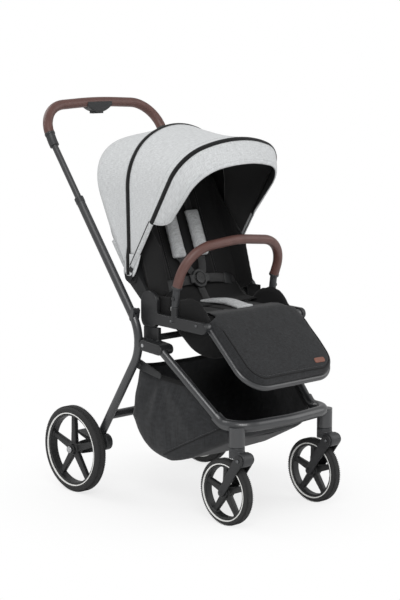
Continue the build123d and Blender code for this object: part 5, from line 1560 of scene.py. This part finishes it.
class STROLLER_OT_basket(Operator):
    """The sagging cloth basket with its bound rim and its seams"""

    bl_idname = "stroller.basket"
    bl_label = "Basket"

    def execute(self, context):
        # Half loops from the middle of the back to the middle of the nose: rim, belly, turn and floor
        rim = [
            (0, 0.002, 0.376), (0.120, 0.003, 0.378), (0.176, 0.004, 0.383), (0.186, -0.010, 0.382),
            (0.185, -0.048, 0.371), (0.183, -0.088, 0.364), (0.178, -0.150, 0.358), (0.176, -0.205, 0.353),
            (0.169, -0.248, 0.319), (0.159, -0.288, 0.284), (0.148, -0.318, 0.266), (0.118, -0.330, 0.262),
            (0, -0.332, 0.258),
        ]
        belly = [
            (0, 0.048, 0.236), (0.120, 0.047, 0.236), (0.172, 0.042, 0.238), (0.188, 0.018, 0.240),
            (0.189, -0.040, 0.240), (0.188, -0.088, 0.242), (0.182, -0.150, 0.246), (0.175, -0.205, 0.250),
            (0.166, -0.248, 0.247), (0.156, -0.288, 0.243), (0.146, -0.318, 0.242), (0.116, -0.329, 0.241),
            (0, -0.330, 0.239),
        ]
        turn = [
            (0, 0.026, 0.156), (0.118, 0.025, 0.154), (0.160, 0.018, 0.150), (0.174, -0.002, 0.146),
            (0.178, -0.045, 0.140), (0.177, -0.088, 0.139), (0.170, -0.150, 0.152), (0.161, -0.205, 0.176),
            (0.151, -0.248, 0.194), (0.141, -0.288, 0.212), (0.132, -0.318, 0.224), (0.108, -0.327, 0.227),
            (0, -0.328, 0.226),
        ]
        floor = [
            (0, -0.029, 0.126), (0.100, -0.030, 0.127), (0.132, -0.038, 0.128), (0.142, -0.052, 0.128),
            (0.148, -0.072, 0.128), (0.150, -0.096, 0.128), (0.146, -0.146, 0.141), (0.138, -0.196, 0.164),
            (0.128, -0.238, 0.184), (0.118, -0.276, 0.202), (0.108, -0.302, 0.214), (0.092, -0.314, 0.220),
            (0, -0.316, 0.220),
        ]
        spine = [(0, y, z - 4 * MM) for _, y, z in floor]

        def whole(half):
            """A smooth closed loop from its left half, with its first point again at its end."""
            keys = [Vector(p) for p in half]
            keys += [Vector((-p.x, p.y, p.z)) for p in reversed(keys[1:-1])]
            return drawn_line(keys + [keys[0]], 8 * len(keys) + 1)

        rim, belly, turn, floor, spine = (whole(half) for half in (rim, belly, turn, floor, spine))
        rows = []
        for i in range(13):
            rows.append([a.lerp(b, i / 13) for a, b in zip(rim, belly)])
        for i in range(19):
            t = i / 18
            near, mid, far = (1 - t) ** 2, 2 * t * (1 - t), t**2
            rows.append([b * near + c * mid + f * far for b, c, f in zip(belly, turn, floor)])
        for i in range(1, 9):
            rows.append([f.lerp(s, i / 8) for f, s in zip(floor, spine)])

        bracket_y, bracket_z, low_end = -0.088, 0.372, 0.75

        def slack(along, _, place):
            """Folds that run down from the side brackets, and small waves everywhere."""
            y, z = place.y - bracket_y, place.z - bracket_z
            reach = sqrt(y * y + z * z)
            angle = atan2(z, y)
            ease = sin(pi * (along / low_end)) if along < low_end else 0.0
            folds = 0.0
            for lean, high in ((-32, 3.0), (-52, -2.6), (-74, 3.2), (-100, -2.4), (-126, 3.0), (-146, -2.2)):
                folds += high * MM * np.exp(-(((angle - radians(lean)) / 0.13) ** 2))
            side = within((abs(place.x) - 0.08) / 0.04)
            waves = 3.2 * MM * noise.noise(Vector((place.x * 8, place.y * 15, place.z * 11)))
            fine = 0.8 * MM * noise.noise(place * 42)
            return ease * (folds * side * min(1.0, reach / 0.05) * np.exp(-reach / 0.22) * 2.2 + waves + fine)

        grid = pushed(rows, slack)
        basket = cloth_grid("basket_cloth", grid, "charcoal_basket_cloth")
        outward(basket, turn=False)
        thicken(basket, 1.6 * MM)
        tape = strap_section(13 * MM, 3.4 * MM)
        path = [p.copy() for p in grid[0]]
        ways = [(b - a).normalized() for a, b in zip(grid[0], grid[4])]
        binding = swept("basket_binding", path, tape, ways, "black_lining", capped=False)
        trims = [binding]
        for side, sign in SIDES:
            tree = surface(basket)
            run = [Vector((sign * 0.25, -0.296 + 0.0040 * i, 0.254 - 0.0020 * i)) for i in range(57)]
            places, normals = laid(tree, run, (-sign, 0, 0), 0.2)
            section = ring_section(2.4 * MM, 2.4 * MM)
            cord = swept(f"basket_seam_cord_{side}", places, section, normals, "black_lining")
            beside = [p + Vector((0, 5 * MM, 3 * MM)) for p in run]
            places, normals = laid(tree, beside, (-sign, 0, 0), 0.2)
            trims += [cord, sewn(f"basket_seam_{side}", places, normals, "black_thread")]
        sheet_of(grid)
        for piece in (basket, *trims):
            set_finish(piece, "charcoal_fabric")
            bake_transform(piece)
        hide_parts("basket")
        return {"FINISHED"}


class STROLLER_OT_trim(Operator):
    """Seams of the grip and bumper, cuffs and rings on the tubes, and the screws"""

    bl_idname = "stroller.trim"
    bl_label = "Trim"

    def execute(self, context):
        half = [(HALF_FRAME, *GRIP_START), (HALF_FRAME, *HANDLE_CORNER)]
        grip = smooth_path(over(half, (0, *HANDLE_MID)), (90 * MM, 1.2, 90 * MM), 4 * MM)
        half = [(BUMPER_X, *BUMPER_FOOT), (BUMPER_X, *BUMPER_CORNER)]
        bow = smooth_path(over(half, (0, *BUMPER_CROWN)), (92 * MM, 368 * MM, 92 * MM), 4 * MM)
        for name, path, side, radius, body in (
            ("grip", grip, (0, -0.8, -0.6), GRIP_D / 2, "handle"),
            ("bumper", bow, (0, 0.75, -0.66), BUMPER_D / 2, "bumper"),
        ):
            ways = [first for _, _, first, _ in rails(path, side)]
            line = [p + w * radius for p, w in zip(path, ways)]
            section = ring_section(1.6 * MM, 1.6 * MM, 6)
            cord = swept(f"{name}_seam_cord", line, section, ways, "brown_leatherette")
            keep_with(cord, body, "brown_leather")
            across = [second for _, _, _, second in rails(path, side)]
            beside = [p + s * 3 * MM - w * 0.3 * MM for p, w, s in zip(line, ways, across)]
            keep_with(sewn(f"{name}_seam", beside, ways, "brown_thread"), body, "brown_leather")
            for end, where in ((0, "left"), (-1, "right")):
                way = (path[1] - path[0]) if end == 0 else (path[-2] - path[-1])
                start = path[end] - way.normalized() * 1 * MM
                cuff_path = [start + way.normalized() * d * MM for d in (0, 1, 5, 6)]
                section = ring_section(2 * radius + 2 * MM, 2 * radius + 2 * MM, 40)
                cuff = swept(f"{name}_cuff_{where}", cuff_path, section, (1, 0, 0), "moulded_frame_grey")
                keep_with(cuff, body, "black_plastic")
        coat_d, end_d = 24.4 * MM, 26.4 * MM
        up = Vector((0, cos(radians(PUSH_ANGLE)), sin(radians(PUSH_ANGLE))))
        for side, sign in SIDES:
            top = Vector((sign * HALF_FRAME, *PUSH_TOP))
            path = [top - up * d * MM for d in range(330, 8, -6)]
            section = ring_section(coat_d, coat_d, 48)
            coat = swept(
                f"push_tube_coat_{side}", path, section, (1, 0, 0), "powder_coated_push_tube", capped=False
            )
            keep_with(coat, "push_bar", "anthracite_tube")
            path = [top + up * d * MM for d in (-16, -15, -1, 0.4)]
            section = ring_section(end_d, end_d, 40)
            sleeve = swept(f"push_tube_end_{side}", path, section, (1, 0, 0), "moulded_frame_grey")
            keep_with(sleeve, "push_bar", "black_plastic")

        # Domed screw heads, set on the sides of the mouldings
        dome = [(0.0, -0.2), (1.0, -0.2), (1.0, 0.25), (0.72, 0.62), (0.34, 0.7), (0.3, 0.45), (0.0, 0.45)]
        head = small_part("screw_part", dome, 12)
        # Each screw: across, along, up, radius in millimetres and the side that it faces
        fork_x, arm_x = FRONT_WHEEL[0], 0.0235
        groups = {
            "chassis": [(0.192, -0.134, 0.524, 4.0, 1), (0.192, -0.232, 0.524, 3.4, 1)],
            "fork": [(fork_x + arm_x, -0.389, 0.187, 5.0, 1), (fork_x - arm_x, -0.389, 0.187, 5.0, -1)],
        }
        for side, sign in SIDES:
            for group, screws in groups.items():
                places = [Vector((sign * x, y, z)) for x, y, z, _, _ in screws]
                turns = []
                for _, _, _, _, facing in screws:
                    way = Vector((sign * facing, 0, 0))
                    turns.append(tuple(way.to_track_quat("Z", "Y")))
                size = (screws[0][3] * MM,) * 3
                piece = set_along(f"{group}_screws_{side}", head, places, turns, size, "zinc_screw")
                body = "chassis" if group == "chassis" else f"fork_{side}"
                keep_with(piece, body, "steel")
        return {"FINISHED"}


class STROLLER_PT_panel(Panel):
    """Pieces of the stroller's looks"""

    bl_idname = "STROLLER_PT_panel"
    bl_label = "Stroller"
    bl_space_type = "VIEW_3D"
    bl_region_type = "UI"
    bl_category = "Stroller"

    def draw(self, context):
        for group in (context.scene.stroller_colours, context.scene.stroller_sizes):
            for name in group.__annotations__:
                self.layout.prop(group, name)
        for operator in OPERATORS:
            self.layout.operator(operator.bl_idname)


OPERATORS = (
    STROLLER_OT_stage,
    STROLLER_OT_rigid_finishes,
    STROLLER_OT_wheels,
    STROLLER_OT_canopy,
    STROLLER_OT_seat,
    STROLLER_OT_harness,
    STROLLER_OT_leg_pad,
    STROLLER_OT_basket,
    STROLLER_OT_trim,
)
CLASSES = (StrollerColours, StrollerSizes, *OPERATORS, STROLLER_PT_panel)


def register():
    """Add the classes and the settings that they keep in the scene."""
    for entry in CLASSES:
        bpy.utils.register_class(entry)
    bpy.types.Scene.stroller_colours = PointerProperty(type=StrollerColours)
    bpy.types.Scene.stroller_sizes = PointerProperty(type=StrollerSizes)


def unregister():
    """Take the settings and the classes away again."""
    del bpy.types.Scene.stroller_sizes
    del bpy.types.Scene.stroller_colours
    for entry in reversed(CLASSES):
        bpy.utils.unregister_class(entry)


def main():
    """Register the add-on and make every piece."""
    register()
    for operator in OPERATORS:
        group, name = operator.bl_idname.split(".")
        getattr(getattr(bpy.ops, group), name)()


if __name__ == "__main__":
    main()
